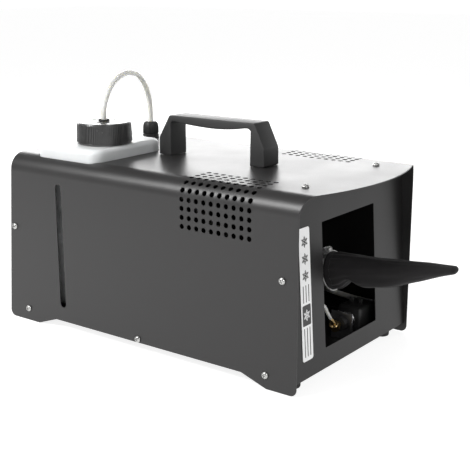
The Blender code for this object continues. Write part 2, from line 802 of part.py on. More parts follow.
def make_outlet():
    wall = 0.0015
    r = PIPE_RADIUS
    wide = DRUM_RADIUS
    profile = [
        (r - wall, 0), (r, 0), (r, -0.050), (wide - 0.001, -0.0725), (wide + 0.003, -0.0725),
        (wide + 0.003, -0.0750), (wide - 0.002, -0.0750), (r - wall, -0.0510),
    ]
    pipe = turned("outlet_pipe", profile, 28, BLACK_PLASTIC, BLOWER)
    shade_round(settle(pipe))
    band = turned(
        "clamp_band", [(0.0218, -0.0030), (0.0228, -0.0030), (0.0228, -0.0110), (0.0218, -0.0110)],
        28, STEEL, BLOWER,
    )
    lug = block("clamp_lug", (-0.0075, 0.0222, -0.0115), (0.0055, 0.0272, -0.0025), None, BLOWER)
    join(band, lug)
    settle(band)
    cloth = 0.0008
    profile = [
        (0, SOCK_LENGTH), (0.0022, SOCK_LENGTH - 0.0006), (0.0038, SOCK_LENGTH - 0.0030),
        (0.0205, 0.0060), (0.0213, -0.0005), (0.0213, -0.0140), (0.0204, -0.0140), (0.0204, -0.0005),
        (0.0197, 0.0060), (0.0038 - cloth, SOCK_LENGTH - 0.0045), (0, SOCK_LENGTH - 0.0050),
    ]
    sock = turned("outlet_sock", profile, 24, CLOTH, BLOWER)
    shade_round(settle(sock))


def make_blower():
    wall = 0.002
    r = DRUM_RADIUS
    profile = [
        (r - wall, -0.0753), (r + 0.003, -0.0753), (r + 0.003, -0.0778), (r, -0.0778), (r, -0.1250),
        (0.030, -0.1250), (0.030, -0.1230), (r - wall, -0.1230),
    ]
    drum = turned("blower_housing", profile, 28, BLACK_PLASTIC, BLOWER)
    posts = []
    for k in range(3):
        angle = math.radians(90 + 120 * k)
        x = 0.0328 * math.cos(angle)
        y = 0.0328 * math.sin(angle)
        posts.append(rod(f"motor_post_{k}", (x, y, -0.124), (x, y, -0.1347), 0.0020, 8, None, BLOWER))
    join(drum, *posts)
    shade_round(settle(drum))
    profile = [
        (0, -0.1350), (0.031, -0.1350), (MOTOR_RADIUS + 0.0012, -0.1385),
        (MOTOR_RADIUS + 0.0012, -0.1400), (MOTOR_RADIUS, -0.1400), (MOTOR_RADIUS, -0.1780),
        (0.028, -0.1830), (0.010, -0.1830), (0.008, -0.1880), (0, -0.1880),
    ]
    motor = turned("blower_motor", profile, 24, ZINC, BLOWER)
    bore = rod(
        "motor_bore", (0, 0, -0.150), (0, 0, -0.130), SHAFT_RADIUS + GAP, 12, None, BLOWER, CUTTERS
    )
    cut(motor, bore)
    shade_round(settle(motor))
    rod("fan_shaft", (0, 0, -0.1495), (0, 0, -0.0840), SHAFT_RADIUS, 12, STEEL, BLOWER)


def make_impeller():
    bore = SHAFT_RADIUS + GAP
    profile = [
        (bore, -0.0860), (0.010, -0.0860), (0.012, -0.0920), (0.012, -0.1000), (0.049, -0.1000),
        (0.049, -0.1020), (bore, -0.1020),
    ]
    fan = turned("impeller", profile, 28, ZINC, BLOWER)
    blades = []
    for k in range(9):
        turn = Matrix.Rotation(2 * math.pi * k / 9, 4, "Z") @ Matrix.Translation((0.030, 0, 0))
        frame = BLOWER @ turn @ Matrix.Rotation(math.radians(28), 4, "Z")
        low = (-0.018, -0.0006, -0.1180)
        blades.append(block(f"blade_{k}", low, (0.018, 0.0006, -0.1010), None, frame))
    join(fan, *blades)
    settle(fan)


def make_bracket():
    low = CHASSIS_Z + SHEET + GAP
    plate = block("blower_bracket", (-0.040, -0.133, low), (0.040, -0.076, low + SHEET), ZINC)
    ribs = []
    for i, (y, top) in enumerate(((-0.133, 0.066), (-0.0775, 0.058))):
        ribs.append(block(f"saddle_{i}", (-0.040, y, low), (0.040, y + 0.0015, top)))
    clearance = rod(
        "saddle_round", (0, 0, -0.130), (0, 0, -0.040), DRUM_RADIUS + 0.0035, 28, None, BLOWER, CUTTERS
    )
    join(plate, *ribs)
    cut(plate, clearance)
    settle(plate)


# ---- pump and delivery line -------------------------------------------------------------------------


def make_pump():
    left = (PUMP_LEFT, PUMP_Y, PUMP_Z)
    right = (PUMP_RIGHT, PUMP_Y, PUMP_Z)
    body = rod("pump_body", left, right, 0.0085, 16, BLACK_PLASTIC)
    half = 0.0150
    coil = block(
        "pump_coil", (PUMP_LEFT + 0.022, PUMP_Y - half, PUMP_Z - half),
        (PUMP_LEFT + 0.058, PUMP_Y + half, PUMP_Z + half),
    )
    soften(coil, 0.002, 1)
    join(body, coil)
    settle(body)
    low = CHASSIS_Z + SHEET + GAP
    front = PUMP_Y - 0.014
    back = PUMP_Y + 0.014
    first = PUMP_LEFT + 0.006
    last = PUMP_RIGHT - 0.016
    plate = block("pump_bracket", (first, front, low), (last, back, low + SHEET), ZINC)
    ends = [
        block(f"pump_end_{i}", (x, front, low), (x + SHEET, back, PUMP_Z + 0.013))
        for i, x in enumerate((first, last - SHEET))
    ]
    hole = rod("pump_hole", left, right, 0.0089, 16, None, CASE, CUTTERS)
    join(plate, *ends)
    cut(plate, hole)
    settle(plate)
    elbow = (ELBOW_X, PUMP_Y, PUMP_Z)
    fitting = rod("pump_fitting", (PUMP_LEFT - GAP, PUMP_Y, PUMP_Z), elbow, 0.0045, 6, BRASS)
    lean = Matrix.Translation(elbow) @ Matrix.Rotation(-ELBOW_LEAN, 4, "Y")
    barb = [
        (0, 0.0150), (0.0020, 0.0150), (0.0028, 0.0120), (0.0021, 0.0118), (0.0021, 0.0095),
        (0.0029, 0.0070), (0.0029, 0.0050), (0.0055, 0.0045), (0.0055, -0.0045), (0, -0.0045),
    ]
    join(fitting, turned("pump_barb", barb, 12, None, lean))
    settle(fitting)


def make_delivery():
    up = Vector((-math.sin(ELBOW_LEAN), 0, math.cos(ELBOW_LEAN)))
    start = Vector((ELBOW_X, PUMP_Y, PUMP_Z)) + up * (0.0150 + GAP)
    end = BLOWER @ Vector((-PIPE_RADIUS - 0.0130, 0, -0.0220))
    route = (
        start, start + up * 0.012, start + up * 0.026 + Vector((-0.001, 0, 0)),
        (-0.0440, -0.183, 0.078), (-0.0520, -0.178, 0.0935), (-0.0470, -0.172, 0.1020),
        end + Vector((-0.006, 0, 0.0005)), end + Vector((-GAP, 0, 0)),
    )
    tube("delivery_tube", smooth_route(route, 3), DELIVERY_RADIUS, CLEAR_TUBE)
    seat = Matrix.Translation((-PIPE_RADIUS - GAP, 0, -0.0220))
    frame = BLOWER @ seat @ Matrix.Rotation(-math.pi / 2, 4, "Y")
    profile = [
        (0, 0.0127), (0.0022, 0.0127), (0.0028, 0.0080), (0.0048, 0.0075), (0.0048, 0.0022), (0, 0.0022),
    ]
    shade_round(settle(turned("spray_nozzle", profile, 12, BRASS, frame)))


# ---- electrics --------------------------------------------------------------------------------------


def make_board():
    deck = 0.0210
    low = CHASSIS_Z + SHEET + GAP
    board = block("control_board", (0.036, 0.070, deck), (0.106, 0.160, deck + 0.0016), BOARD_GREEN)
    corners = ((0.041, 0.075), (0.101, 0.075), (0.041, 0.155), (0.101, 0.155))
    for i, (x, y) in enumerate(corners):
        join(board, rod(f"standoff_{i}", (x, y, low), (x, y, deck + 0.0005), 0.003, 8))
    components = (
        (0.045, 0.085, 0.070, 0.115, 0.0450), (0.078, 0.085, 0.098, 0.100, 0.0410),
        (0.078, 0.106, 0.098, 0.121, 0.0370), (0.050, 0.130, 0.095, 0.140, 0.0330),
    )
    for i, (x0, y0, x1, y1, top) in enumerate(components):
        join(board, block(f"component_{i}", (x0, y0, deck + 0.001), (x1, y1, top)))
    settle(board)


def make_inlet():
    """Built about the inlet's middle: a flange, a barrel behind it, a socket with pins and a fuse drawer."""
    frame = REAR @ Matrix.Translation((INLET_X, INLET_V, 0))
    flange = block("mains_inlet", (-0.0160, -0.0200, GAP), (0.0160, 0.0200, 0.0023), BLACK_PLASTIC, frame)
    join(flange, block("inlet_barrel", (-0.0134, -0.0154, -0.0250), (0.0134, 0.0154, 0.0010), None, frame))
    cut(
        flange,
        block("inlet_socket", (-0.0120, -0.0030, -0.0150), (0.0120, 0.0130, 0.01), None, frame, CUTTERS),
        block("drawer_way", (-0.0113, -0.0133, -0.0200), (0.0113, -0.0057, 0.01), None, frame, CUTTERS),
    )
    for i, (x, v) in enumerate(((-0.007, 0.003), (0.007, 0.003), (0.0, 0.007))):
        low = (x - 0.0010, v - 0.0020, -0.0160)
        join(flange, block(f"pin_{i}", low, (x + 0.0010, v + 0.0020, -0.002), None, frame))
    settle(flange)
    slide = frame @ Matrix.Translation((0, -0.0095, 0))
    fuse = block("fuse_drawer", (-0.0110, -0.0035, -0.0190), (0.0110, 0.0035, 0.0026), BLACK_PLASTIC, slide)
    join(fuse, block("drawer_lip", (-0.0060, -0.0012, 0.0020), (0.0060, 0.0012, 0.0042), None, slide))
    settle(fuse)


def make_switch():
    frame = REAR @ Matrix.Translation((INLET_X, SWITCH_V, 0))
    bezel = block("switch_frame", (-0.0115, -0.0085, GAP), (0.0115, 0.0085, 0.0020), BLACK_PLASTIC, frame)
    barrel = block("switch_barrel", (-0.0093, -0.0064, -0.0140), (0.0093, 0.0064, 0.0010), None, frame)
    way = block("switch_way", (-0.0080, -0.0056, -0.0070), (0.0080, 0.0056, 0.01), None, frame, CUTTERS)
    join(bezel, barrel)
    cut(bezel, way)
    settle(bezel)
    width = 0.0150
    outline = arc((0, 0), ROCKER_HALF, 180, 360, 8)
    outline += [(ROCKER_HALF, 0.0016), (0, 0.0008), (-ROCKER_HALF, 0.0016)]
    rocker = flat("rocker", outline, [], width, BLACK_PLASTIC)
    across = Matrix.Rotation(math.pi / 2, 4, "Z") @ Matrix.Rotation(math.pi / 2, 4, "X")
    rocker.data.transform(across @ Matrix.Translation((0, 0, width / 2)))
    pivot = Matrix.Translation((0, 0, 0.0010)) @ Matrix.Rotation(math.radians(10), 4, "X")
    rocker.matrix_basis = frame @ pivot


def make_remote_socket():
    frame = REAR @ Matrix.Translation((SOCKET_X, SOCKET_V, 0))
    profile = [
        (0, 0.0030), (0.0100, 0.0030), (0.0110, 0.0020), (0.0110, GAP), (0.0079, GAP), (0.0079, -0.0160),
        (0, -0.0160),
    ]
    socket = turned("remote_socket", profile, 20, BLACK_PLASTIC, frame)
    cut(socket, rod("socket_cup", (0, 0, -0.009), (0, 0, 0.01), 0.0055, 16, None, frame, CUTTERS))
    shade_round(settle(socket))


def make_label():
    outline = round_box((-0.1030, 0.0200), (-0.0830, 0.1630), 0.002, 2)
    flat("front_label", outline, [], 0.0004, LABEL_WHITE, FRONT @ Matrix.Translation((0, 0, 0.0007)))


MAINS_ROUTE = (
    (0.085, 0.1850, 0.052), (0.086, 0.1750, 0.052), (0.094, 0.1680, 0.045), (0.100, 0.1600, 0.0275),
)
MOTOR_ROUTE = (
    (0.060, 0.0840, 0.0330), (0.050, 0.0600, 0.0320), (0.030, 0.0250, 0.0450), (0.006, 0.0080, 0.0660),
)


def make_leads():
    tube("mains_lead", smooth_route(MAINS_ROUTE, 4), LEAD_RADIUS, BLACK_PLASTIC)
    tube("motor_lead", smooth_route(MOTOR_ROUTE, 4), LEAD_RADIUS, BLACK_PLASTIC)


make_cover()
make_base_tray()
make_front_panel()
make_rear_panel()
make_feet()
make_screws()
make_tank()
make_tank_cradle()
make_cap()
make_tubes()
make_gland()
make_handle()
make_outlet()
make_blower()
make_impeller()
make_bracket()
make_pump()
make_delivery()
make_board()
make_inlet()
make_switch()
make_remote_socket()
make_label()
make_leads()
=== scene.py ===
"""Foam-flake snow machine: the finished surfaces of the case, tank, handle, blower and outlet sock.

Metres, +Z up, the outlet faces -Y. Sections follow the machine as it is put together, after the
camera, the studio and the one free tube.
"""

import json
import math

import bmesh
import bpy
from mathutils import Matrix, Vector, noise
from mathutils.geometry import delaunay_2d_cdt

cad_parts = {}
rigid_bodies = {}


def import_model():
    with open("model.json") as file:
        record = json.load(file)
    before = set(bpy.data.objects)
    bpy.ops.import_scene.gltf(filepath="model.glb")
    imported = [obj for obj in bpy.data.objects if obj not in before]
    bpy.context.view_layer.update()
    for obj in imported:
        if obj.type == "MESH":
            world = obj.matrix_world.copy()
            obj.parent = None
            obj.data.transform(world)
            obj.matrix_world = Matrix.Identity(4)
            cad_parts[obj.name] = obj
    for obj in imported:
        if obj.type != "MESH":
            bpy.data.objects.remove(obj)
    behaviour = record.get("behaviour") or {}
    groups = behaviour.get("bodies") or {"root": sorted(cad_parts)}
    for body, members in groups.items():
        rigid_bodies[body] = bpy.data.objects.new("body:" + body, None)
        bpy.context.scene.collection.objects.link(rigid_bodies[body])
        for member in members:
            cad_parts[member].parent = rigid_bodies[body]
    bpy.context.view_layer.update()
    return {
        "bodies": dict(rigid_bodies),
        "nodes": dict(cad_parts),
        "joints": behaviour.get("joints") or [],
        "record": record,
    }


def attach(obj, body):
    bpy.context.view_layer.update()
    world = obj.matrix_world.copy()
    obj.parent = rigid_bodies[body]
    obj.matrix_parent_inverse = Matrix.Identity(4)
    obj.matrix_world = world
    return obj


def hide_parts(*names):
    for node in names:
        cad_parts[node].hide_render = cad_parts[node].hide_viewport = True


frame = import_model()


# ---- camera -----------------------------------------------------------------------------------------
# A product view from the front left, a little above the top of the case. The lens is a short
# telephoto, and the camera leans a tenth of a degree.


def linked(name, data):
    """An object of the data, in the scene."""
    made = bpy.data.objects.new(name, data)
    bpy.context.scene.collection.objects.link(made)
    return made


azimuth, elevation, roll = (math.radians(a) for a in (-53.1708, 14.7771, -0.0993))
back = Vector((
    math.sin(azimuth) * math.cos(elevation), -math.cos(azimuth) * math.cos(elevation), math.sin(elevation),
))
right = Vector((math.cos(azimuth), math.sin(azimuth), 0))
turned_right = right * math.cos(roll) + back.cross(right) * math.sin(roll)
turned_up = back.cross(turned_right)
eye = linked("camera", bpy.data.cameras.new("camera"))
eye.data.sensor_width = 36
eye.data.lens = 76.382
eye.data.clip_start = 0.05
eye.matrix_world = Matrix.Translation((-0.9236, -0.6827, 0.4270)) @ Matrix((
    turned_right, turned_up, back,
)).transposed().to_4x4()
bpy.context.scene.camera = eye


# ---- studio -----------------------------------------------------------------------------------------
# A floor of white paper that glows a little, under a sky that is brighter on the far side. Four soft
# lights: over the case, on its near side, in front, and a wide low one behind for the bends.


class Tone:
    """A socket in a finish or a shape tree. Sums written with it add Math nodes, node() adds any other."""

    def __init__(self, tree, socket=None):
        self.tree = tree
        self.socket = socket

    def node(self, kind, settings=None, sockets=None, out=0):
        made = self.tree.nodes.new(kind)
        for key, value in (settings or {}).items():
            if key == "stops":
                ramp = made.color_ramp
                while len(ramp.elements) < len(value):
                    ramp.elements.new(1)
                for stop, (place, shade) in zip(ramp.elements, value):
                    stop.position = place
                    stop.color = (*shade, 1) if isinstance(shade, tuple) else (shade, shade, shade, 1)
            else:
                setattr(made, key, value)
        for key, value in (sockets or {}).items():
            for one in value if isinstance(value, list) else [value]:
                if isinstance(one, Tone):
                    self.tree.links.new(one.socket, made.inputs[key])
                else:
                    made.inputs[key].default_value = one
        return Tone(self.tree, made.outputs[out] if made.outputs else None)

    def other(self, out):
        return Tone(self.tree, self.socket.node.outputs[out])

    def maths(self, operation, first, second=0.0, third=0.0):
        return self.node("ShaderNodeMath", {"operation": operation}, {0: first, 1: second, 2: third})

    def __add__(self, value):
        return self.maths("ADD", self, value)

    def __sub__(self, value):
        return self.maths("SUBTRACT", self, value)

    def __rsub__(self, value):
        return self.maths("SUBTRACT", value, self)

    def __mul__(self, value):
        return self.maths("MULTIPLY", self, value)

    def __truediv__(self, value):
        return self.maths("DIVIDE", self, value)

    __radd__ = __add__

    def spots(self, place, size, detail=2.0):
        """Cloudy noise over the place, its cells about this size in metres."""
        return self.node(
            "ShaderNodeTexNoise", {}, {"Vector": place, "Scale": 1 / size, "Detail": detail}, "Fac"
        )

    def stretched(self, place, scale):
        return self.node("ShaderNodeMapping", {}, {"Vector": place, "Scale": scale})

    def between(self, amount, first, second):
        """A colour between two colours."""
        return self.node("ShaderNodeMix", {"data_type": "RGBA"}, {0: amount, 6: first, 7: second}, 2)

    def ramp(self, amount, *stops):
        return self.node("ShaderNodeValToRGB", {"stops": stops}, {"Fac": amount})

    def bumped(self, height, depth, strength=1.0):
        return self.node(
            "ShaderNodeBump", {}, {"Height": height, "Distance": depth, "Strength": strength}, "Normal"
        )


def grey(value):
    return (value, value, value, 1)


def new_finish(name):
    """A new material, and the start of its nodes with the object's coordinates."""
    material = bpy.data.materials.new(name)
    material.use_nodes = True
    material.node_tree.nodes.clear()
    tone = Tone(material.node_tree)
    return material, tone, tone.node("ShaderNodeTexCoord", out="Object")


def coated(tone, **sockets):
    """The finish's one shader, its sockets named with underscores for spaces, joined to the output."""
    named = {key.replace("_", " "): value for key, value in sockets.items()}
    shader = tone.node("ShaderNodeBsdfPrincipled", {}, named, "BSDF")
    tone.node("ShaderNodeOutputMaterial", {}, {"Surface": shader})
    return shader


def soft_light(name, place, target, size, watts):
    lamp = linked(name, bpy.data.lights.new(name, "AREA"))
    lamp.data.shape = "RECTANGLE"
    lamp.data.size, lamp.data.size_y = size
    lamp.data.energy = watts
    aim = Vector(target) - Vector(place)
    lamp.matrix_world = Matrix.Translation(place) @ aim.to_track_quat("-Z", "Y").to_matrix().to_4x4()


floor = bpy.data.meshes.new("sweep")
bm = bmesh.new()
bmesh.ops.create_grid(bm, x_segments=8, y_segments=8, size=9)
bm.to_mesh(floor)
bm.free()
sweep = linked("sweep", floor)
paper, tone, place = new_finish("white_paper")
coated(
    tone, Base_Color=grey(0.45), Roughness=0.9, Specular_IOR_Level=0.1, Emission_Color=grey(1),
    Emission_Strength=0.84,
)
sweep.data.materials.append(paper)

sky = bpy.data.worlds.new("studio")
sky.use_nodes = True
bpy.context.scene.world = sky
tone = Tone(sky.node_tree)
ahead = tone.node("ShaderNodeTexCoord", out="Generated")
upward = tone.node("ShaderNodeSeparateXYZ", {}, {0: ahead}, "Z")
behind = tone.node(
    "ShaderNodeVectorMath", {"operation": "DOT_PRODUCT"}, {0: ahead, 1: (0.80, 0.60, 0.0)}, "Value"
)
glow = tone.ramp(behind * 0.5 + 0.5, (0.0, 0.42), (0.45, 0.42), (0.75, 1.0))
dimmed = tone.ramp(upward, (0.0, 1.0), (0.28, 1.0), (0.50, 0.25), (1.0, 0.35))
backdrop = sky.node_tree.nodes["Background"]
backdrop.inputs["Strength"].default_value = 1.06
sky.node_tree.links.new((glow * dimmed).socket, backdrop.inputs["Color"])
bpy.context.scene.view_settings.view_transform = "Standard"
soft_light("over_light", (-0.35, 0.1, 1.9), (0, 0, 0.1), (0.9, 1.8), 8)
soft_light("side_light", (-1.05, 0.62, 1.05), (-0.12, -0.1, 0.2), (0.7, 0.5), 20)
soft_light("front_light", (-1.1, -2.0, 1.3), (0, -0.1, 0.2), (0.8, 0.8), 15)
soft_light("back_light", (1.40, 1.77, 0.62), (0, 0, 0.25), (2.9, 0.9), 41)


# ---- feed tube --------------------------------------------------------------------------------------
# Clear silicone hose, 7 mm outside and 4.2 mm inside, slightly cream. It comes up through the cap and
# bends over in one arch into the gland nut, and both ends are held.


def piece(name, mesh, look, slot, *nodes, body="case"):
    """An object of the mesh that rides on the body and stands for the nodes."""
    made = linked(name, mesh)
    mesh.materials.clear()
    mesh.materials.append(look)
    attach(made, body)
    if nodes:
        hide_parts(*nodes)
    return made


def settled(name, bm, angle=40):
    """The mesh of a finished build, smooth except across edges sharper than the angle."""
    mesh = bpy.data.meshes.new(name)
    bm.to_mesh(mesh)
    bm.free()
    mesh.shade_smooth()
    mesh.set_sharp_from_angle(angle=math.radians(angle))
    return mesh


def formed(name, bm, look, slot, *nodes, body="case", angle=30):
    """A piece from a finished build."""
    return piece(name, settled(name, bm, angle), look, slot, *nodes, body=body)


def smooth_route(route, parts):
    """Points of a Catmull-Rom curve through the route, with the same number of parts in each span."""
    route = [Vector(p) for p in route]
    ends = [route[0] * 2 - route[1], *route, route[-1] * 2 - route[-2]]
    points = []
    for i in range(len(route) - 1):
        a, b, c, d = ends[i:i + 4]
        for k in range(parts):
            t = k / parts
            points.append(
                0.5 * (2 * b + (c - a) * t + (2 * a - 5 * b + 4 * c - d) * t**2
                       + (3 * b - a - 3 * c + d) * t**3)
            )
    points.append(route[-1])
    return points


def hose(bm, points, outer, bore=0.0, sides=20):
    """A tube along the points. With a bore it is open at both ends, and without one it is capped."""
    points = [Vector(p) for p in points]
    across = (points[1] - points[0]).orthogonal().normalized()
    rings = []
    for i, point in enumerate(points):
        along = (points[min(i + 1, len(points) - 1)] - points[max(i - 1, 0)]).normalized()
        across = (across - along * across.dot(along)).normalized()
        side = along.cross(across)
        spokes = [
            across * math.cos(math.tau * k / sides) + side * math.sin(math.tau * k / sides)
            for k in range(sides)
        ]
        rings.append([
            [bm.verts.new(point + spoke * radius) for spoke in spokes] for radius in (outer, bore) if radius
        ])
    for k in range(sides):
        j = (k + 1) % sides
        for a, b in zip(rings, rings[1:]):
            bm.faces.new((a[0][k], a[0][j], b[0][j], b[0][k]))
            if bore:
                bm.faces.new((a[1][j], a[1][k], b[1][k], b[1][j]))
        if bore:
            a, b = rings[0], rings[-1]
            bm.faces.new((a[0][j], a[0][k], a[1][k], a[1][j]))
            bm.faces.new((b[0][k], b[0][j], b[1][j], b[1][k]))
    if not bore:
        bm.faces.new(list(reversed(rings[0][0])))
        bm.faces.new(rings[-1][0])


back_y = 0.0579
cap_spot = Vector((-0.0570, 0.1060 + back_y, 0.2274))
gland_x, gland_y = 0.0710, 0.1447
gland_spot = Vector((gland_x, gland_y + back_y, 0.2345))
tube_radius, tube_bore = 0.0035, 0.0021
silicone, tone, place = new_finish("clear_silicone")
cloud = tone.spots(place, 0.006)
coated(
    tone, Base_Color=tone.between(cloud, (0.97, 0.96, 0.89, 1), (0.95, 0.93, 0.85, 1)),
    Roughness=0.16 + cloud * 0.10, IOR=1.41, Transmission_Weight=0.30,
    Subsurface_Weight=0.6, Subsurface_Radius=(1, 0.95, 0.8), Subsurface_Scale=0.004,
    Normal=tone.bumped(cloud, 0.0001, 0.3),
)
arch = (
    (0.000, 0.2556), (0.000, 0.2672), (0.0065, 0.2795), (0.0190, 0.2920), (0.0370, 0.3005),
    (0.0590, 0.3045), (0.0790, 0.3040), (0.0980, 0.2995), (0.1140, 0.2890), (0.1250, 0.2760),
    (0.1315, 0.2625), (0.13376, 0.2490), (0.13376, 0.2348),
)
reach = Vector((gland_spot.x - cap_spot.x, gland_spot.y - cap_spot.y, 0))
cap_foot = Vector((cap_spot.x, cap_spot.y, 0))
arch_route = smooth_route([cap_foot + reach * (s / arch[-1][0]) + Vector((0, 0, z)) for s, z in arch], 2)
arch_length = sum((b - a).length for a, b in zip(arch_route, arch_route[1:]))
bm = bmesh.new()
hose(bm, arch_route, tube_radius, tube_bore, 28)
feed_tube = formed("feed_hose", bm, silicone, "clear_tube", "feed_tube", angle=40)


# ---- base tray and feet -----------------------------------------------------------------------------
# A shallow tray of 1.2 mm steel sheet, folded up at both sides, that everything inside is fixed to.
# It stands on four screwed rubber feet. Tray, rear panel and cover share one black powder coat.


def eased(name, width, angle=30):
    """A node's own shape as one clean skin with its edges rounded."""
    bm = bmesh.new()
    bm.from_mesh(frame["nodes"][name].data)
    bmesh.ops.remove_doubles(bm, verts=bm.verts, dist=0.000002)
    bmesh.ops.dissolve_limit(bm, angle_limit=math.radians(1), verts=bm.verts, edges=bm.edges)
    sharp = [e for e in bm.edges if e.is_manifold and e.calc_face_angle(0) > math.radians(angle)]
    bmesh.ops.bevel(bm, geom=sharp, offset=width, segments=2, profile=0.5, affect="EDGES")
    return settled(name + "_eased", bm, 30)


def eased_piece(name, node, width, look, slot, body="case", angle=30):
    """A piece of the node's own shape, with its edges rounded."""
    piece(name, eased(node, width, angle), look, slot, node, body=body)


def turned(bm, profile, sides, frame=Matrix.Identity(4)):
    """A solid from (radius, height) points, from the top down its outer side, turned about local Z."""
    rings = []
    for radius, height in profile:
        turns = [math.tau * k / sides for k in range(sides)] if radius > 0 else [0]
        rings.append([
            bm.verts.new(frame @ Vector((radius * math.cos(t), radius * math.sin(t), height))) for t in turns
        ])
    pairs = list(zip(rings, rings[1:]))
    if profile[0][0] > 0:
        pairs.append((rings[-1], rings[0]))
    for a, b in pairs:
        for k in range(sides):
            j = (k + 1) % sides
            if len(a) == 1 and len(b) > 1:
                bm.faces.new((a[0], b[k], b[j]))
            elif len(b) == 1 and len(a) > 1:
                bm.faces.new((a[k], b[0], a[j]))
            elif len(a) > 1:
                bm.faces.new((a[k], b[k], b[j], a[j]))


def painted(name, shade, gleam):
    """Black powder coat with a faint orange peel and a little dust, this dark and this glossy."""
    made, tone, place = new_finish(name)
    peel = tone.spots(place, 0.0011, 1.0)
    cloud = tone.spots(place, 0.060, 3.0)
    dust = tone.ramp(tone.spots(place, 0.0030, 4.0), (0.66, 0.0), (0.74, 1.0))
    dark = (shade, shade * 0.96, shade * 0.965, 1)
    paint = tone.between(cloud, dark, (shade * 1.25, shade * 1.19, shade * 1.20, 1))
    coated(
        tone, Base_Color=tone.between(dust * 0.10, paint, (0.075, 0.071, 0.068, 1)),
        Roughness=0.30 + cloud * 0.10 + peel * 0.06, Specular_IOR_Level=gleam,
        Normal=tone.bumped(peel, 0.00004, 0.7),
    )
    return made


powder_coat = painted("black_powder_coat", 0.0118, 0.50)
eased_piece("tray", "base_tray", 0.0003, powder_coat, "black_paint")

black_rubber, tone, place = new_finish("black_rubber")
grain = tone.spots(place, 0.0006, 3.0)
coated(
    tone, Base_Color=tone.between(grain, grey(0.012), grey(0.026)), Roughness=0.66 + grain * 0.2,
    Specular_IOR_Level=0.35, Normal=tone.bumped(grain, 0.00008, 0.6),
)
foot_profile = (
    (0, 0.0137), (0.0029, 0.0137), (0.0029, 0.0117), (0.0084, 0.0117), (0.0089, 0.0114), (0.0090, 0.0108),
    (0.0090, 0.0024), (0.0088, 0.0012), (0.0084, 0.0004), (0.0078, 0), (0.0050, 0), (0.0046, 0.0002),
    (0.0044, 0.0007), (0.0044, 0.0031), (0, 0.0031),
)
foot_spots = [Vector((x, y + back_y, 0)) for y in (-0.198, 0.190) for x in (-0.098, 0.098)]
feet = [f"foot_{end}_{hand}" for end in ("front", "rear") for hand in ("left", "right")]
for node, spot in zip(feet, foot_spots):
    bm = bmesh.new()
    turned(bm, foot_profile, 48, Matrix.Translation(spot))
    formed("rubber_" + node, bm, black_rubber, "rubber", node, angle=40)


# ---- front panel ------------------------------------------------------------------------------------
# One leaning steel sheet with a square-cut window, set back under the hood, with flanges behind
# its edges that the cover screws go into.


def arc(centre, radius, start, end, steps):
    """Points on an arc, its angles in degrees, both ends included."""
    turns = [math.radians(start + (end - start) * k / steps) for k in range(steps + 1)]
    return [(centre[0] + radius * math.cos(t), centre[1] + radius * math.sin(t)) for t in turns]


def round_box(low, high, radius, steps=6):
    """A rectangle with rounded corners, anticlockwise."""
    corners = (
        (high[0] - radius, high[1] - radius, 0), (low[0] + radius, high[1] - radius, 90),
        (low[0] + radius, low[1] + radius, 180), (high[0] - radius, low[1] + radius, 270),
    )
    return [p for x, y, start in corners for p in arc((x, y), radius, start, start + 90, steps)]


def circle(x, y, radius, sides=24):
    return arc((x, y), radius, 0, 360 - 360 / sides, sides - 1)


def prism(bm, outline, low, high, ease=0.0, steps=2, frame=Matrix.Identity(4)):
    """The outline raised from local z = low to high, its two rims rounded."""
    bottom = bm.faces.new([bm.verts.new((x, y, low)) for x, y in outline])
    raised = bmesh.ops.extrude_face_region(bm, geom=[bottom])["geom"]
    top = next(f for f in raised if isinstance(f, bmesh.types.BMFace))
    bmesh.ops.translate(bm, verts=top.verts, vec=(0, 0, high - low))
    sides = {f for v in top.verts for f in v.link_faces}
    shell = list(sides | {bottom, top})
    bmesh.ops.recalc_face_normals(bm, faces=shell)
    verts = list({v for f in shell for v in f.verts})
    if ease:
        rims = list(set(bottom.edges) | set(top.edges))
        made = bmesh.ops.bevel(bm, geom=rims, offset=ease, segments=steps, profile=0.5, affect="EDGES")
        verts = list({v for v in verts if v.is_valid} | set(made["verts"]))
    bmesh.ops.transform(bm, matrix=frame, verts=verts)


def brick(bm, low, high, ease=0.0, steps=2, frame=Matrix.Identity(4)):
    """A block with all its edges rounded."""
    size = Vector(high) - Vector(low)
    middle = Matrix.Translation((Vector(high) + Vector(low)) / 2) @ Matrix.Diagonal((*size, 1))
    made = bmesh.ops.create_cube(bm, size=1, matrix=middle)["verts"]
    if ease:
        edges = list({e for v in made for e in v.link_edges})
        rounded = bmesh.ops.bevel(bm, geom=edges, offset=ease, segments=steps, profile=0.5, affect="EDGES")
        made = list({v for v in made if v.is_valid} | set(rounded["verts"]))
    bmesh.ops.transform(bm, matrix=frame, verts=made)


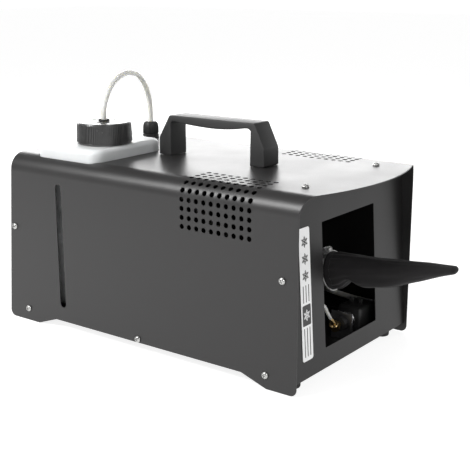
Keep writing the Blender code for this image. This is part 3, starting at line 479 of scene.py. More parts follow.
def sheet_metal(bm, loops, lines=(), thickness=0.0012, edge=0.0002, left_open=None):
    """A flat sheet under z = 0, cut to the first loop, the others being holes, and split along the
    lines. Its cut edges are rounded over, apart from those whose points left_open picks."""
    points, edges, faces = [], [], []
    for loop in loops:
        faces.append(list(range(len(points), len(points) + len(loop))))
        points += [Vector(p) for p in loop]
    for line in lines:
        edges.append((len(points), len(points) + 1))
        points += [Vector(p) for p in line]
    found = delaunay_2d_cdt(points, edges, faces, 1, 0.000001)
    kept = [face for face, sources in zip(found[2], found[5]) if list(sources) == [0]]
    used = sorted({i for face in kept for i in face})
    face_side = {i: bm.verts.new((*found[0][i], 0)) for i in used}
    back_side = {i: bm.verts.new((*found[0][i], -thickness)) for i in used}
    rims = {}
    for face in kept:
        bm.faces.new([face_side[i] for i in face])
        bm.faces.new([back_side[i] for i in reversed(face)])
        for a, b in zip(face, [*face[1:], face[0]]):
            if rims.pop((b, a), None) is None:
                rims[(a, b)] = True
    outward = {}
    cuts = [
        (a, b) for a, b in rims
        if not (left_open and left_open(found[0][a]) and left_open(found[0][b]))
    ]
    for a, b in cuts:
        run = (found[0][b] - found[0][a]).normalized()
        for i in (a, b):
            outward.setdefault(i, []).append(Vector((run.y, -run.x, 0)))
    steps = {}
    for i, normals in outward.items():
        lean = normals[0] + normals[-1]
        shift = lean * (edge / max(1 + normals[0].dot(normals[-1]), 0.3))
        spot = Vector((*found[0][i], 0))
        steps[i] = [
            face_side[i], bm.verts.new(spot - shift * 0.3 - Vector((0, 0, edge * 0.3))),
            bm.verts.new(spot - Vector((0, 0, edge))), bm.verts.new(spot - Vector((0, 0, thickness - edge))),
            bm.verts.new(spot - shift * 0.3 - Vector((0, 0, thickness - edge * 0.3))), back_side[i],
        ]
        face_side[i].co = spot - shift
        back_side[i].co = spot - shift - Vector((0, 0, thickness))
    for a, b in cuts:
        for k in range(5):
            bm.faces.new((steps[a][k], steps[a][k + 1], steps[b][k + 1], steps[b][k]))


panel_half = 0.1210
panel_corner = 0.019
panel_top = 0.1990
panel_outline = [(-panel_half, 0), (panel_half, 0)]
panel_outline += arc((panel_half - panel_corner, panel_top - panel_corner), panel_corner, 0, 90, 20)
panel_outline += arc((panel_corner - panel_half, panel_top - panel_corner), panel_corner, 90, 180, 20)


def flanges(bm, frame):
    """Four strips folded back from the panel's edges."""
    inner = panel_half - 0.0012
    brick(bm, (-0.105, 0.0032, -0.0155), (0.105, 0.0044, -0.0008), 0.0003, 2, frame)
    brick(bm, (-0.095, 0.1966, -0.0155), (0.095, 0.1978, -0.0008), 0.0003, 2, frame)
    for side in (-1, 1):
        low, high = sorted((side * inner, side * panel_half))
        brick(bm, (low, 0.0155, -0.0155), (high, 0.1750, -0.0008), 0.0003, 2, frame)


front_frame = (
    Matrix.Translation((0, -0.2153 + back_y, 0.012)) @ Matrix.Rotation(math.radians(90 - 3.4), 4, "X")
)
bm = bmesh.new()
sheet_metal(bm, [panel_outline, round_box((-0.0575, 0.0230), (0.0525, 0.1618), 0.0012)])
bmesh.ops.transform(bm, matrix=front_frame, verts=bm.verts)
flanges(bm, front_frame)
# The front panel's coat is a darker, less glossy copy of the case's powder coat: painted shade for the shade
# that falls on the panel under the hood.
shaded_panel_coat = painted("black_panel_coat", 0.0085, 0.30)
formed("outlet_panel", bm, shaded_panel_coat, "black_paint", "front_panel", angle=14)


# ---- front label ------------------------------------------------------------------------------------
# White self-adhesive film down the panel's left side, with cut rounded corners. Its print is plain:
# pinstripes along the strip, three black snow crystals, and a white one on a black band.


def shape_tree(name, *inputs):
    """A geometry node tree with named inputs. Returns it, and a Tone for the mesh and each input."""
    tree = bpy.data.node_groups.new(name, "GeometryNodeTree")
    tree.interface.new_socket("Mesh", in_out="INPUT", socket_type="NodeSocketGeometry")
    for label, kind in inputs:
        tree.interface.new_socket(label, in_out="INPUT", socket_type="NodeSocket" + kind)
    tree.interface.new_socket("Mesh", in_out="OUTPUT", socket_type="NodeSocketGeometry")
    start = tree.nodes.new("NodeGroupInput")
    return tree, [Tone(tree, start.outputs[label]) for label in ("Mesh", *(label for label, _ in inputs))]


def shape_out(made, look):
    """Ends the tree: its instances made real, with the one material."""
    real = made.node("GeometryNodeRealizeInstances", {}, {0: made})
    coloured = made.node("GeometryNodeSetMaterial", {}, {"Geometry": real, "Material": look})
    made.node("NodeGroupOutput", {}, {0: coloured})


def finished(holder):
    """The holder's mesh with its modifiers worked in. The holder goes."""
    mesh = bpy.data.meshes.new_from_object(holder.evaluated_get(bpy.context.evaluated_depsgraph_get()))
    bpy.data.objects.remove(holder)
    return mesh


def grown(name, base, tree, angle=40, **values):
    """The plain mesh that the tree grows from the base mesh with these values for its inputs."""
    holder = linked(name, base)
    growth = holder.modifiers.new("growth", "NODES")
    growth.node_group = tree
    for item in tree.interface.items_tree:
        if item.in_out == "INPUT" and item.name.replace(" ", "_") in values:
            growth[item.identifier] = values[item.name.replace(" ", "_")]
    mesh = finished(holder)
    mesh.name = name
    mesh.shade_smooth()
    mesh.set_sharp_from_angle(angle=math.radians(angle))
    return mesh


def round_axis(base, shape, count):
    """Instances of the shape at this many equal turns round local Z."""
    points = base.node("GeometryNodeMeshLine", {"mode": "OFFSET"}, {"Count": count, "Offset": (0, 0, 0)})
    turn = base.node("ShaderNodeCombineXYZ", {}, {2: base.node("GeometryNodeInputIndex") * math.tau / count})
    return base.node(
        "GeometryNodeInstanceOnPoints", {}, {"Points": points, "Instance": shape, "Rotation": turn}
    )


def points_mesh(name, spots, **vectors):
    """Loose points, each with the named vectors, for a tree to put things on."""
    mesh = bpy.data.meshes.new(name)
    mesh.from_pydata(spots, [], [])
    for label, values in vectors.items():
        layer = mesh.attributes.new(label, "FLOAT_VECTOR", "POINT")
        for item, value in zip(layer.data, values):
            item.vector = value
    return mesh


film, tone, place = new_finish("white_film")
grain = tone.spots(place, 0.0015)
coated(
    tone, Base_Color=tone.between(grain, grey(0.80), grey(0.86)), Roughness=0.32 + grain * 0.08,
    Normal=tone.bumped(grain, 0.00002, 0.5),
)
ink, tone, place = new_finish("black_ink")
grain = tone.spots(place, 0.0008)
coated(tone, Base_Color=tone.between(grain, grey(0.010), grey(0.018)), Roughness=0.35 + grain * 0.1)
film_gap = film_thickness = 0.0003
print_rise = 0.00006
film_frame = front_frame @ Matrix.Translation((0, 0, film_gap))
bm = bmesh.new()
prism(bm, round_box((-0.1030, 0.0200), (-0.0830, 0.1630), 0.003), 0, film_thickness, 0.0001, 1, film_frame)
formed("label_film", bm, film, "label_film", "front_label")

ink_frame = film_frame @ Matrix.Translation((-0.093, 0, film_thickness))
bm = bmesh.new()
for low, high in ((0.0245, 0.0560), (0.0835, 0.1020)):
    for x in (-0.0051, 0, 0.0051):
        prism(bm, round_box((x - 0.0007, low), (x + 0.0007, high), 0.0006, 3), 0, print_rise, 0, 1, ink_frame)
prism(bm, round_box((-0.0078, 0.0585), (0.0078, 0.0808), 0.0015, 4), 0, print_rise, 0, 1, ink_frame)
formed("label_print", bm, ink, "label_film")

arm = bmesh.new()
brick(arm, (-0.00045, 0, 0), (0.00045, 0.0062, 0.00005))
for side in (-1, 1):
    for along, length in ((0.0022, 0.0020), (0.0038, 0.0016)):
        turn = Matrix.Translation((0, along, 0)) @ Matrix.Rotation(side * math.radians(-58), 4, "Z")
        brick(arm, (-0.00035, 0, 0), (0.00035, length, 0.00005), 0, 1, turn)
tree, (arm_mesh, count, middles) = shape_tree("snow_crystals", ("Arms", "Int"), ("Middles", "Object"))
arms = round_axis(arm_mesh, arm_mesh, count)
spots = arm_mesh.node("GeometryNodeObjectInfo", {}, {"Object": middles}, "Geometry")
shape_out(arm_mesh.node("GeometryNodeInstanceOnPoints", {}, {"Points": spots, "Instance": arms}), film)
crystal_spots = {"label_crystal": (0.06965,), "label_crystals": (0.1120, 0.1300, 0.1480)}
pattern = settled("crystal_arm", arm)
for name, heights in crystal_spots.items():
    look = film if name == "label_crystal" else ink
    middle_points = points_mesh("crystal_middles", [(0, y, print_rise) for y in heights])
    middle_holder = linked("crystal_middles", middle_points)
    crystals = grown(name, pattern.copy(), tree, Arms=6, Middles=middle_holder)
    bpy.data.objects.remove(middle_holder)
    crystals.transform(ink_frame)
    piece(name, crystals, look, "label_film")


# ---- cover ------------------------------------------------------------------------------------------
# The case's one sheet of 1.2 mm steel: a flat blank, laser-cut, punched with two square fields of
# round vents that run over the bends, and folded down at both sides. It is screwed to the panels.

half_width = 0.1225
height = 0.2125
bend = 0.0205
sheet = 0.0012
neutral = bend - sheet / 2
flat_half = half_width - bend
bend_run = neutral * math.pi / 2
side_top = height - bend
half_length = 0.219
vent_pitch = 0.010
vent_rows = 10
vent_cells = 3


def unfold(z):
    """Distance from the middle of the blank to height z on a side."""
    return flat_half + bend_run + side_top - z


def unfold_x(x):
    """Distance from the middle of the blank to x on the top or in the bend."""
    if abs(x) <= flat_half:
        return x
    return math.copysign(flat_half + neutral * math.asin((abs(x) - flat_half) / neutral), x)


def hood_y(x):
    """The bowed front edge of the hood."""
    reach = 0.028
    radius = (half_width**2 + reach**2) / (2 * reach)
    return -half_length - reach + radius - math.sqrt(radius**2 - min(x, half_width) ** 2)


def blank_half():
    """Half of the blank, from the middle of the hood down one side and back up to the rear."""
    corner = 0.0076
    leg = 0.001
    lean = 0.0154 / side_top
    foot = unfold(leg)
    deck = unfold(0.012)
    points = [(flat_half * k / 16, hood_y(flat_half * k / 16)) for k in range(17)]
    for k in range(1, 10):
        turn = k * math.pi / 20
        points.append((flat_half + neutral * turn, hood_y(flat_half + neutral * math.sin(turn))))
    points += arc((foot - corner, corner - half_length), corner, -90, 0, 8)
    points += [(foot, -0.181), (deck, -0.148), (deck, 0.1354), (foot, 0.1666)]
    rear = half_length - lean * leg
    points += arc((foot - corner, rear - corner), corner, 0, 90, 8)
    return [*points, (unfold(side_top), half_length - lean * side_top)]


patch_far = unfold(0.1613) + vent_pitch / 2
patch_near = patch_far - vent_rows * vent_pitch
patch_front = -0.0686 + vent_pitch / 2 - vent_rows * vent_pitch
cell = vent_pitch / vent_cells
cells = vent_rows * vent_cells


def patch_loop(side):
    """The edge of one field of vents, cut where the vent cells' corners come."""
    run = range(cells)
    low, high = patch_near, patch_far
    loop = [(low + cell * k, patch_front) for k in run]
    loop += [(high, patch_front + cell * k) for k in run]
    loop += [(high - cell * k, patch_front + cells * cell) for k in run]
    loop += [(low, patch_front + cells * cell - cell * k) for k in run]
    return [(t, y) for t, y in loop] if side > 0 else [(-t, y) for t, y in reversed(loop)]


def on_patch(point):
    """Whether a point of the blank is on the edge of a field of vents."""
    t, y = abs(point.x), point.y - patch_front
    slack = 0.00002
    inside = -slack < y < cells * cell + slack and patch_near - slack < t < patch_far + slack
    return inside and (
        min(abs(t - patch_near), abs(t - patch_far), abs(y), abs(y - cells * cell)) < slack
    )


def fold_lines():
    """Lines across the blank that the bends fold along. Those at the bend's ends stop at the vents."""
    lines = []
    gap = 0.001
    beyond = 0.3
    bend_start, bend_end, margin = flat_half, flat_half + bend_run, 0.0006
    corners = [patch_far - cell * k for k in range(cells)]
    for side in (-1, 1):
        inside = [t for t in corners if bend_start + gap < t < bend_end - gap]
        lines += [((side * t, -beyond), (side * t, beyond)) for t in inside]
        for t in (bend_start - margin, bend_start, bend_end, bend_end + margin):
            lines.append(((side * t, -beyond), (side * t, patch_front - gap)))
            lines.append(((side * t, patch_front + cells * cell + gap), (side * t, beyond)))
    return lines


side_screws = ((0.1845, 0.0165), (0.0, 0.0165), (-0.180, 0.0165), (-0.2005, 0.124), (0.2015, 0.121))
top_screws = ((-0.0745, -0.1955), (0.0745, -0.1955), (-0.0745, 0.189), (0.0745, 0.189))
half = blank_half()
tank_left, tank_right, tank_front, tank_rear = -0.1090, 0.0100, 0.0700, 0.1740
tank_gap = 0.0007
tank_low = (tank_left - tank_gap, tank_front - tank_gap)
tank_high = (tank_right + tank_gap, tank_rear + tank_gap)
slot_run = unfold(0.1068)
bolt_x, bolt_rows = -0.00275, (0.0435, -0.0945)
loops = [half + [(-t, y) for t, y in reversed(half[1:])], patch_loop(-1), patch_loop(1)]
loops.append(round_box((unfold_x(tank_low[0]), tank_low[1]), (tank_high[0], tank_high[1]), 0.0157, 10))
loops.append(round_box((-slot_run - 0.0768, 0.11725), (-slot_run + 0.0768, 0.12675), 0.0047, 8))
loops.append(circle(gland_x, gland_y, 0.0078))
loops += [circle(bolt_x, y, 0.0027) for y in bolt_rows]
screw_hole = 0.0022
loops += [circle(side * unfold(z), y, screw_hole, 16) for y, z in side_screws for side in (-1, 1)]
loops += [circle(x, y, screw_hole, 16) for x, y in top_screws]
blank = bmesh.new()
sheet_metal(blank, loops, fold_lines(), sheet, 0.0002, on_patch)

vent = bmesh.new()
vent_radius = 0.0029
rim = 0.00025
square = [(vent_pitch * (k / vent_cells - 0.5), -vent_pitch / 2) for k in range(vent_cells)]
square += [(-y, x) for x, y in square]
square += [(-x, -y) for x, y in square]
levels = [
    (None, 0), (vent_radius + rim, 0), (vent_radius, -rim), (vent_radius, rim - sheet),
    (vent_radius + rim, -sheet), (None, -sheet),
]
rings = []
for radius, depth in levels:
    ring = []
    for k, (x, y) in enumerate(square):
        turn = math.radians(-135 + 360 * k / len(square))
        spot = (x, y) if radius is None else (radius * math.cos(turn), radius * math.sin(turn))
        ring.append(vent.verts.new((*spot, depth)))
    rings.append(ring)
for a, b in zip(rings, rings[1:]):
    for k in range(len(square)):
        j = (k + 1) % len(square)
        vent.faces.new((a[k], a[j], b[j], b[k]))
vent_holder = linked("vent", settled("vent", vent))

tree, (blank_in, vent_in, pitch, rows, across, along, flat, bend_in, neutral_in, top) = shape_tree(
    "punch_and_fold", ("Vent", "Object"), ("Pitch", "Float"), ("Rows", "Int"), ("Across", "Float"),
    ("Along", "Float"), ("Flat half", "Float"), ("Bend radius", "Float"), ("Neutral radius", "Float"),
    ("Side top", "Float"),
)
vent_shape = blank_in.node("GeometryNodeObjectInfo", {}, {"Object": vent_in}, "Geometry")
span = pitch * (rows - 1)
fields = []
for side in (-1, 1):
    grid = blank_in.node(
        "GeometryNodeMeshGrid", {}, {"Size X": span, "Size Y": span, "Vertices X": rows, "Vertices Y": rows}
    )
    middle = blank_in.node("ShaderNodeCombineXYZ", {}, {0: across * side, 1: along})
    moved = blank_in.node("GeometryNodeTransform", {}, {"Geometry": grid, "Translation": middle})
    punched = {"Points": moved, "Instance": vent_shape}
    fields.append(blank_in.node("GeometryNodeInstanceOnPoints", {}, punched))
vents = blank_in.node("GeometryNodeJoinGeometry", {}, {0: fields})
vents = blank_in.node("GeometryNodeRealizeInstances", {}, {0: vents})
whole = blank_in.node("GeometryNodeJoinGeometry", {}, {0: [vents, blank_in]})
whole = blank_in.node("GeometryNodeMergeByDistance", {}, {"Geometry": whole, "Distance": 0.00003})
spot = blank_in.node("ShaderNodeSeparateXYZ", {}, {0: blank_in.node("GeometryNodeInputPosition")})
run = blank_in.maths("ABSOLUTE", spot)
hand = blank_in.maths("SIGN", spot)
depth = spot.other(2)
angle = blank_in.maths("MINIMUM", blank_in.maths("MAXIMUM", (run - flat) / neutral_in, 0.0), math.pi / 2)
past = blank_in.maths("MAXIMUM", run - flat - neutral_in * (math.pi / 2), 0.0)
x = hand * (blank_in.maths("MINIMUM", run, flat) + (bend_in + depth) * blank_in.maths("SINE", angle))
z = top + (bend_in + depth) * blank_in.maths("COSINE", angle) - past
folded = blank_in.node("ShaderNodeCombineXYZ", {}, {0: x, 1: spot.other(1), 2: z})
shape_out(blank_in.node("GeometryNodeSetPosition", {}, {"Geometry": whole, "Position": folded}), powder_coat)
cover = grown(
    "case_cover", settled("blank", blank), tree, 14, Vent=vent_holder, Pitch=vent_pitch, Rows=vent_rows,
    Across=(patch_near + patch_far) / 2, Along=patch_front + cells * cell / 2, Flat_half=flat_half,
    Bend_radius=bend, Neutral_radius=neutral, Side_top=side_top,
)
bpy.data.objects.remove(vent_holder)
cover.transform(Matrix.Translation((0, back_y, 0)))
piece("case_cover", cover, powder_coat, "black_paint", "cover")


# ---- rear panel and its fittings --------------------------------------------------------------------
# The rear sheet carries a moulded mains inlet with a fuse drawer, a rocker switch in its own snap-in
# frame and a round socket for a wired remote control. The switch rocks and the fuse drawer slides.


def moved_out(radius, turn, x=0.0, y=0.0):
    """A frame at this radius and turn from the point (x, y)."""
    return Matrix.Translation((x + radius * math.cos(turn), y + radius * math.sin(turn), 0))


rear_frame = (
    Matrix.Translation((0, 0.2165 + back_y, 0.012)) @ Matrix.Rotation(math.pi, 4, "Z")
    @ Matrix.Rotation(math.radians(90 - 4.65), 4, "X")
)
inlet_x, inlet_v, switch_v, remote_x = -0.085, 0.040, 0.088, -0.040
openings = [
    round_box((inlet_x - 0.0138, inlet_v - 0.0158), (inlet_x + 0.0138, inlet_v + 0.0158), 0.0008, 3),
    round_box((inlet_x - 0.0097, switch_v - 0.0068), (inlet_x + 0.0097, switch_v + 0.0068), 0.0006, 3),
    circle(remote_x, inlet_v, 0.0083, 32),
]
bm = bmesh.new()
sheet_metal(bm, [panel_outline, *openings])
bmesh.ops.transform(bm, matrix=rear_frame, verts=bm.verts)
flanges(bm, rear_frame)
formed("back_panel", bm, powder_coat, "black_paint", "rear_panel", angle=14)

moulded_black, tone, place = new_finish("black_moulding")
spark = tone.spots(place, 0.0005, 3.0)
cloud = tone.spots(place, 0.030)
coated(
    tone, Base_Color=tone.between(cloud, grey(0.014), grey(0.021)), Roughness=0.42 + spark * 0.16,
    Specular_IOR_Level=0.5, Normal=tone.bumped(spark, 0.00006, 0.6),
)
eased_piece("inlet_body", "mains_inlet", 0.0004, moulded_black, "black_plastic")
eased_piece("switch_bezel", "switch_frame", 0.0003, moulded_black, "black_plastic")
eased_piece("remote_socket_body", "remote_socket", 0.0002, moulded_black, "black_plastic", angle=50)
eased_piece("fuse_tray", "fuse_drawer", 0.0003, moulded_black, "black_plastic", body="fuse_drawer")
gloss_black, tone, place = new_finish("gloss_black_moulding")
cloud = tone.spots(place, 0.004)
coated(
    tone, Base_Color=tone.between(cloud, grey(0.010), grey(0.014)), Roughness=0.14 + cloud * 0.08,
    Normal=tone.bumped(cloud, 0.00003, 0.4),
)
eased_piece("switch_rocker", "rocker", 0.0003, gloss_black, "black_plastic", body="rocker")

nickel, tone, place = new_finish("nickel_plate")
brushed = tone.spots(tone.stretched(place, (1, 14, 1)), 0.0012, 3.0)
coated(
    tone, Base_Color=tone.between(brushed, grey(0.56), grey(0.70)), Metallic=1.0,
    Roughness=0.20 + brushed * 0.16, Normal=tone.bumped(brushed, 0.00002, 0.5),
)
bm = bmesh.new()
for x, v in ((-0.007, 0.003), (0.007, 0.003), (0.0, 0.007)):
    pin = Matrix.Translation((inlet_x + x, inlet_v + v, 0))
    brick(bm, (-0.0011, -0.0021, -0.0150), (0.0011, 0.0021, -0.0018), 0.0005, 2, rear_frame @ pin)
screw_profile = ((0, 0.0034), (0.0012, 0.0033), (0.0020, 0.0029), (0.0023, 0.0022), (0, 0.0022))
for x in (-0.0135, 0.0135):
    turned(bm, screw_profile, 20, rear_frame @ Matrix.Translation((inlet_x + x, inlet_v, 0)))
pin_profile = ((0, -0.0030), (0.0004, -0.0032), (0.0006, -0.0038), (0.0006, -0.0089), (0, -0.0089))
for k in range(5):
    turned(bm, pin_profile, 12, rear_frame @ moved_out(0.0032, math.tau * k / 5, remote_x, inlet_v))
formed("rear_contacts", bm, nickel, "bright_steel", angle=40)


# ---- cover screws -----------------------------------------------------------------------------------
# Fourteen bright pan-head M4 screws with a cross recess hold the cover: five on each side and four on
# top. The same screws, turned up from below, hold the four feet.

bright_steel, tone, place = new_finish("bright_zinc_steel")
brushed = tone.spots(place, 0.0007, 3.0)
coated(
    tone, Base_Color=tone.between(brushed, (0.40, 0.40, 0.39, 1), (0.56, 0.56, 0.55, 1)), Metallic=1.0,
    Roughness=0.22 + brushed * 0.18, Normal=tone.bumped(brushed, 0.00003, 0.6),
)


def cut_by(name, body, cutter):
    """The body with the cutter taken out of it, both being builds."""
    holders = []
    for label, bm in ((name, body), (name + "_cutter", cutter)):
        mesh = bpy.data.meshes.new(label)
        bm.to_mesh(mesh)
        bm.free()
        holders.append(linked(label, mesh))
    step = holders[0].modifiers.new("cut", "BOOLEAN")
    step.operation = "DIFFERENCE"
    step.object = holders[1]
    mesh = finished(holders[0])
    bpy.data.objects.remove(holders[1])
    mesh.shade_smooth()
    mesh.set_sharp_from_angle(angle=math.radians(30))
    return mesh


head = bmesh.new()
turned(head, (
    (0, 0.0026), (0.0012, 0.00255), (0.0024, 0.0023), (0.0032, 0.0018), (0.0038, 0.0010), (0.0040, 0.0004),
    (0.0040, 0), (0.0019, 0), (0.0019, -0.0050), (0.0014, -0.0058), (0, -0.0058),
), 28)
cross = bmesh.new()
wing = [(0.00045, 0.00045), (0.0021, 0.00045), (0.0021, -0.00045)]
outline = []
for quarter in range(4):
    turn = Matrix.Rotation(-quarter * math.pi / 2, 2)
    outline += [tuple(turn @ Vector(p)) for p in wing]
prism(cross, list(reversed(outline)), 0.0011, 0.0040)
screw_holder = linked("pan_head", cut_by("pan_head", head, cross))
screw_gap = 0.0003
seats, facings = [], []
for y, z in side_screws:
    for side in (-1, 1):
        seats.append((side * (half_width + screw_gap), y + back_y, z))
        facings.append((side, 0, 0))
for x, y in top_screws:
    seats.append((x, y + back_y, height + screw_gap))
    facings.append((0, 0, 1))
for spot in foot_spots:
    seats.append((spot.x, spot.y, 0.0031))
    facings.append((0, 0, -1))
tree, (seats_in, screw_in, seed) = shape_tree("driven_screws", ("Screw", "Object"), ("Seed", "Int"))
facing = seats_in.node(
    "GeometryNodeInputNamedAttribute", {"data_type": "FLOAT_VECTOR"}, {"Name": "facing"}, "Attribute"
)
turn = seats_in.node("FunctionNodeAlignRotationToVector", {"axis": "Z"}, {"Vector": facing})
spin = seats_in.node(
    "ShaderNodeCombineXYZ", {},
    {2: seats_in.node("FunctionNodeRandomValue", {"data_type": "FLOAT"}, {2: 0.0, 3: 1.5, "Seed": seed}, 1)},
)
spin = seats_in.node("FunctionNodeEulerToRotation", {}, {0: spin})
turn = seats_in.node("FunctionNodeRotateRotation", {"rotation_space": "LOCAL"}, {0: turn, 1: spin})
screw_shape = seats_in.node("GeometryNodeObjectInfo", {}, {"Object": screw_in}, "Geometry")
shape_out(seats_in.node(
    "GeometryNodeInstanceOnPoints", {}, {"Points": seats_in, "Instance": screw_shape, "Rotation": turn}
), bright_steel)
screws = grown(
    "case_screws", points_mesh("screw_seats", seats, facing=facings), tree, 30, Screw=screw_holder, Seed=7
)
bpy.data.objects.remove(screw_holder)
sides = ("low_rear", "low_middle", "low_front", "high_front", "high_rear")
replaced = [f"screw_{hand}_{name}" for hand in ("left", "right") for name in sides]
replaced += [f"screw_top_{end}_{hand}" for end in ("front", "rear") for hand in ("left", "right")]
piece("case_screws", screws, bright_steel, "bright_steel", *replaced)


# ---- tank and its cradle ----------------------------------------------------------------------------
# A blow-moulded tank of natural polyethylene, milky and a little see-through, with thick rounded
# corners, a mould seam round its middle and a threaded neck. It stands in a folded zinc-plated cradle.

natural_plastic, tone, place = new_finish("natural_polyethylene")
cloud = tone.spots(place, 0.020, 3.0)
fine = tone.spots(place, 0.0020)
height_up = tone.node("ShaderNodeSeparateXYZ", {}, {0: place}, 2)
below = tone.maths("SMOOTH_MIN", tone.maths("MAXIMUM", (0.108 - height_up) / 0.003, 0.0), 1.0, 0.3)
milk = tone.between(cloud, (0.70, 0.73, 0.74, 1), (0.77, 0.79, 0.79, 1))
coated(
    tone, Base_Color=tone.between(below * 0.55, milk, (0.47, 0.47, 0.46, 1)), Roughness=0.36 + cloud * 0.12,
    IOR=1.5, Subsurface_Weight=0.7, Subsurface_Radius=(1, 1, 1), Subsurface_Scale=0.015,
    Normal=tone.bumped(cloud * 0.7 + fine * 0.3, 0.0004, 0.35),
)


ring_points = 48


def tank_ring(inset, corner, z):
    """The tank's outline at a height, drawn in by the inset."""
    low = (tank_left + inset, tank_front + back_y + inset)
    high = (tank_right - inset, tank_rear + back_y - inset)
    return [(x, y, z) for x, y in round_box(low, high, corner, ring_points // 4 - 1)]


def neck_ring(radius, z):
    """A circle with the tank ring's points, which start at its far right corner."""
    return [
        (cap_spot.x + radius * math.cos(t), cap_spot.y + radius * math.sin(t), z)
        for t in (math.tau * (k + 0.5) / ring_points for k in range(ring_points))
    ]


def skinned(bm, rings):
    """A closed skin over rings of points, which all have the same number."""
    rings = [[bm.verts.new(p) for p in ring] for ring in rings]
    for a, b in zip(rings, rings[1:]):
        for k in range(len(a)):
            j = (k + 1) % len(a)
            bm.faces.new((a[k], a[j], b[j], b[k]))
    bm.faces.new(list(reversed(rings[0])))
    bm.faces.new(rings[-1])


top_z, bottom_z, wall = 0.2270, 0.0152, 0.002
tank_corner, rounding = 0.015, 0.006
rings = [tank_ring(0.030, 0.004, bottom_z), tank_ring(0.008, 0.007, bottom_z)]
turns = [math.radians(18 * k) for k in range(6)]
for turn in turns[1:]:
    inset = rounding * (1 - math.sin(turn))
    rings.append(tank_ring(inset, tank_corner - inset, bottom_z + rounding * (1 - math.cos(turn))))
for z, proud in ((0.1180, 0), (0.1186, 0.0003), (0.1192, 0.0003), (0.1198, 0)):
    rings.append(tank_ring(-proud, tank_corner, z))
for turn in turns:
    inset = rounding * (1 - math.cos(turn))
    rings.append(tank_ring(inset, tank_corner - inset, top_z - rounding * (1 - math.sin(turn))))
rings.append(tank_ring(0.0075, 0.0085, top_z + 0.00005))
neck_steps = [(0.0335, top_z), (0.0305, top_z + 0.0001), (0.0292, top_z + 0.0012), (0.0290, top_z + 0.0040)]
for k in range(4):
    z = top_z + 0.0050 + 0.0040 * k
    neck_steps += [(0.0284, z), (0.0290, z + 0.0010), (0.0290, z + 0.0016), (0.0284, z + 0.0026)]
neck_steps += [(0.0284, 0.2470), (0.0280, 0.2475), (0.0268, 0.2475), (0.0265, 0.2470), (0.0265, 0.2256)]
rings += [neck_ring(radius, z) for radius, z in neck_steps]
ceiling, tank_floor = top_z - wall, bottom_z + wall
for inset, corner, z in (
    (0.010, 0.009, ceiling), (0.004, 0.013, ceiling - 0.001), (wall, 0.013, ceiling - 0.005),
    (wall, 0.013, tank_floor + 0.005), (0.004, 0.012, tank_floor + 0.001), (0.030, 0.004, tank_floor),
):
    rings.append(tank_ring(inset, corner, z))
bm = bmesh.new()
skinned(bm, rings)
formed("fluid_tank", bm, natural_plastic, "natural_plastic", "tank")

# Zinc plate whose base colour is set well darker than bright zinc: painted shade for the dark inside of the
# case, where most zinc parts sit.
zinc, tone, place = new_finish("dull_zinc_plate")
flake = tone.node("ShaderNodeTexVoronoi", {}, {"Vector": place, "Scale": 220.0}, "Distance")
cloud = tone.spots(place, 0.012, 3.0)
coated(
    tone, Base_Color=tone.between(cloud, (0.26, 0.26, 0.27, 1), (0.36, 0.36, 0.37, 1)), Metallic=1.0,
    Roughness=0.34 + cloud * 0.16 + flake * 0.05, Normal=tone.bumped(cloud, 0.0001, 0.4),
)
eased_piece("tank_tray", "tank_cradle", 0.0003, zinc, "zinc_plate")


# ---- cap --------------------------------------------------------------------------------------------
# A black polypropylene cap with a finely ribbed skirt and a flat, shiny top. A rubber
# grommet seals the tube in its middle, and a rubber ring seals it on the neck. It screws off.

ribbed_black, tone, place = new_finish("ribbed_black_moulding")
cloud = tone.spots(place, 0.008)
coated(
    tone, Base_Color=tone.between(cloud, grey(0.030), grey(0.045)), Roughness=0.20 + cloud * 0.10,
    Specular_IOR_Level=0.8, Normal=tone.bumped(cloud, 0.00005, 0.4),
)
bm = bmesh.new()
turned(bm, (
    (0.0052, 0.0257), (0.0150, 0.0257), (0.0156, 0.0254), (0.0164, 0.0254), (0.0170, 0.0257),
    (0.0306, 0.0257), (0.0314, 0.0255), (0.0319, 0.0249), (0.0321, 0.0240), (0.0326, 0.0020),
    (0.0331, 0.0014), (0.0331, 0.0003), (0.0328, 0), (0.0298, 0), (0.0298, 0.0232), (0.0052, 0.0232),
), 120)
skirt = settled("cap_skirt", bm)
rib = bmesh.new()
section = [
    (0.0004, -0.00052), (0.0011, -0.00030), (0.0011, 0.00030), (0.0004, 0.00052), (-0.0010, 0.0004),
    (-0.0010, -0.0004),
]
heights = ((0.0016, 0.0327, 0.2), (0.0024, 0.0324, 1.0), (0.0232, 0.0318, 1.0), (0.0244, 0.0318, 0.3))
skinned(rib, [[(radius + x * s, y, z) for x, y in section] for z, radius, s in heights])
rib_tree, (turned_in, rib_in, count) = shape_tree("ribs_around", ("Rib", "Object"), ("Ribs", "Int"))
rib_shape = turned_in.node("GeometryNodeObjectInfo", {}, {"Object": rib_in}, "Geometry")
ribs = round_axis(turned_in, rib_shape, count)
shape_out(turned_in.node("GeometryNodeJoinGeometry", {}, {0: [turned_in, ribs]}), ribbed_black)


def ribbed(name, base, rib, count):
    """The base mesh with this many copies of the rib round its Z axis."""
    holder = linked("rib", settled("rib", rib))
    mesh = grown(name, base, rib_tree, 30, Rib=holder, Ribs=count)
    bpy.data.objects.remove(holder)
    return mesh


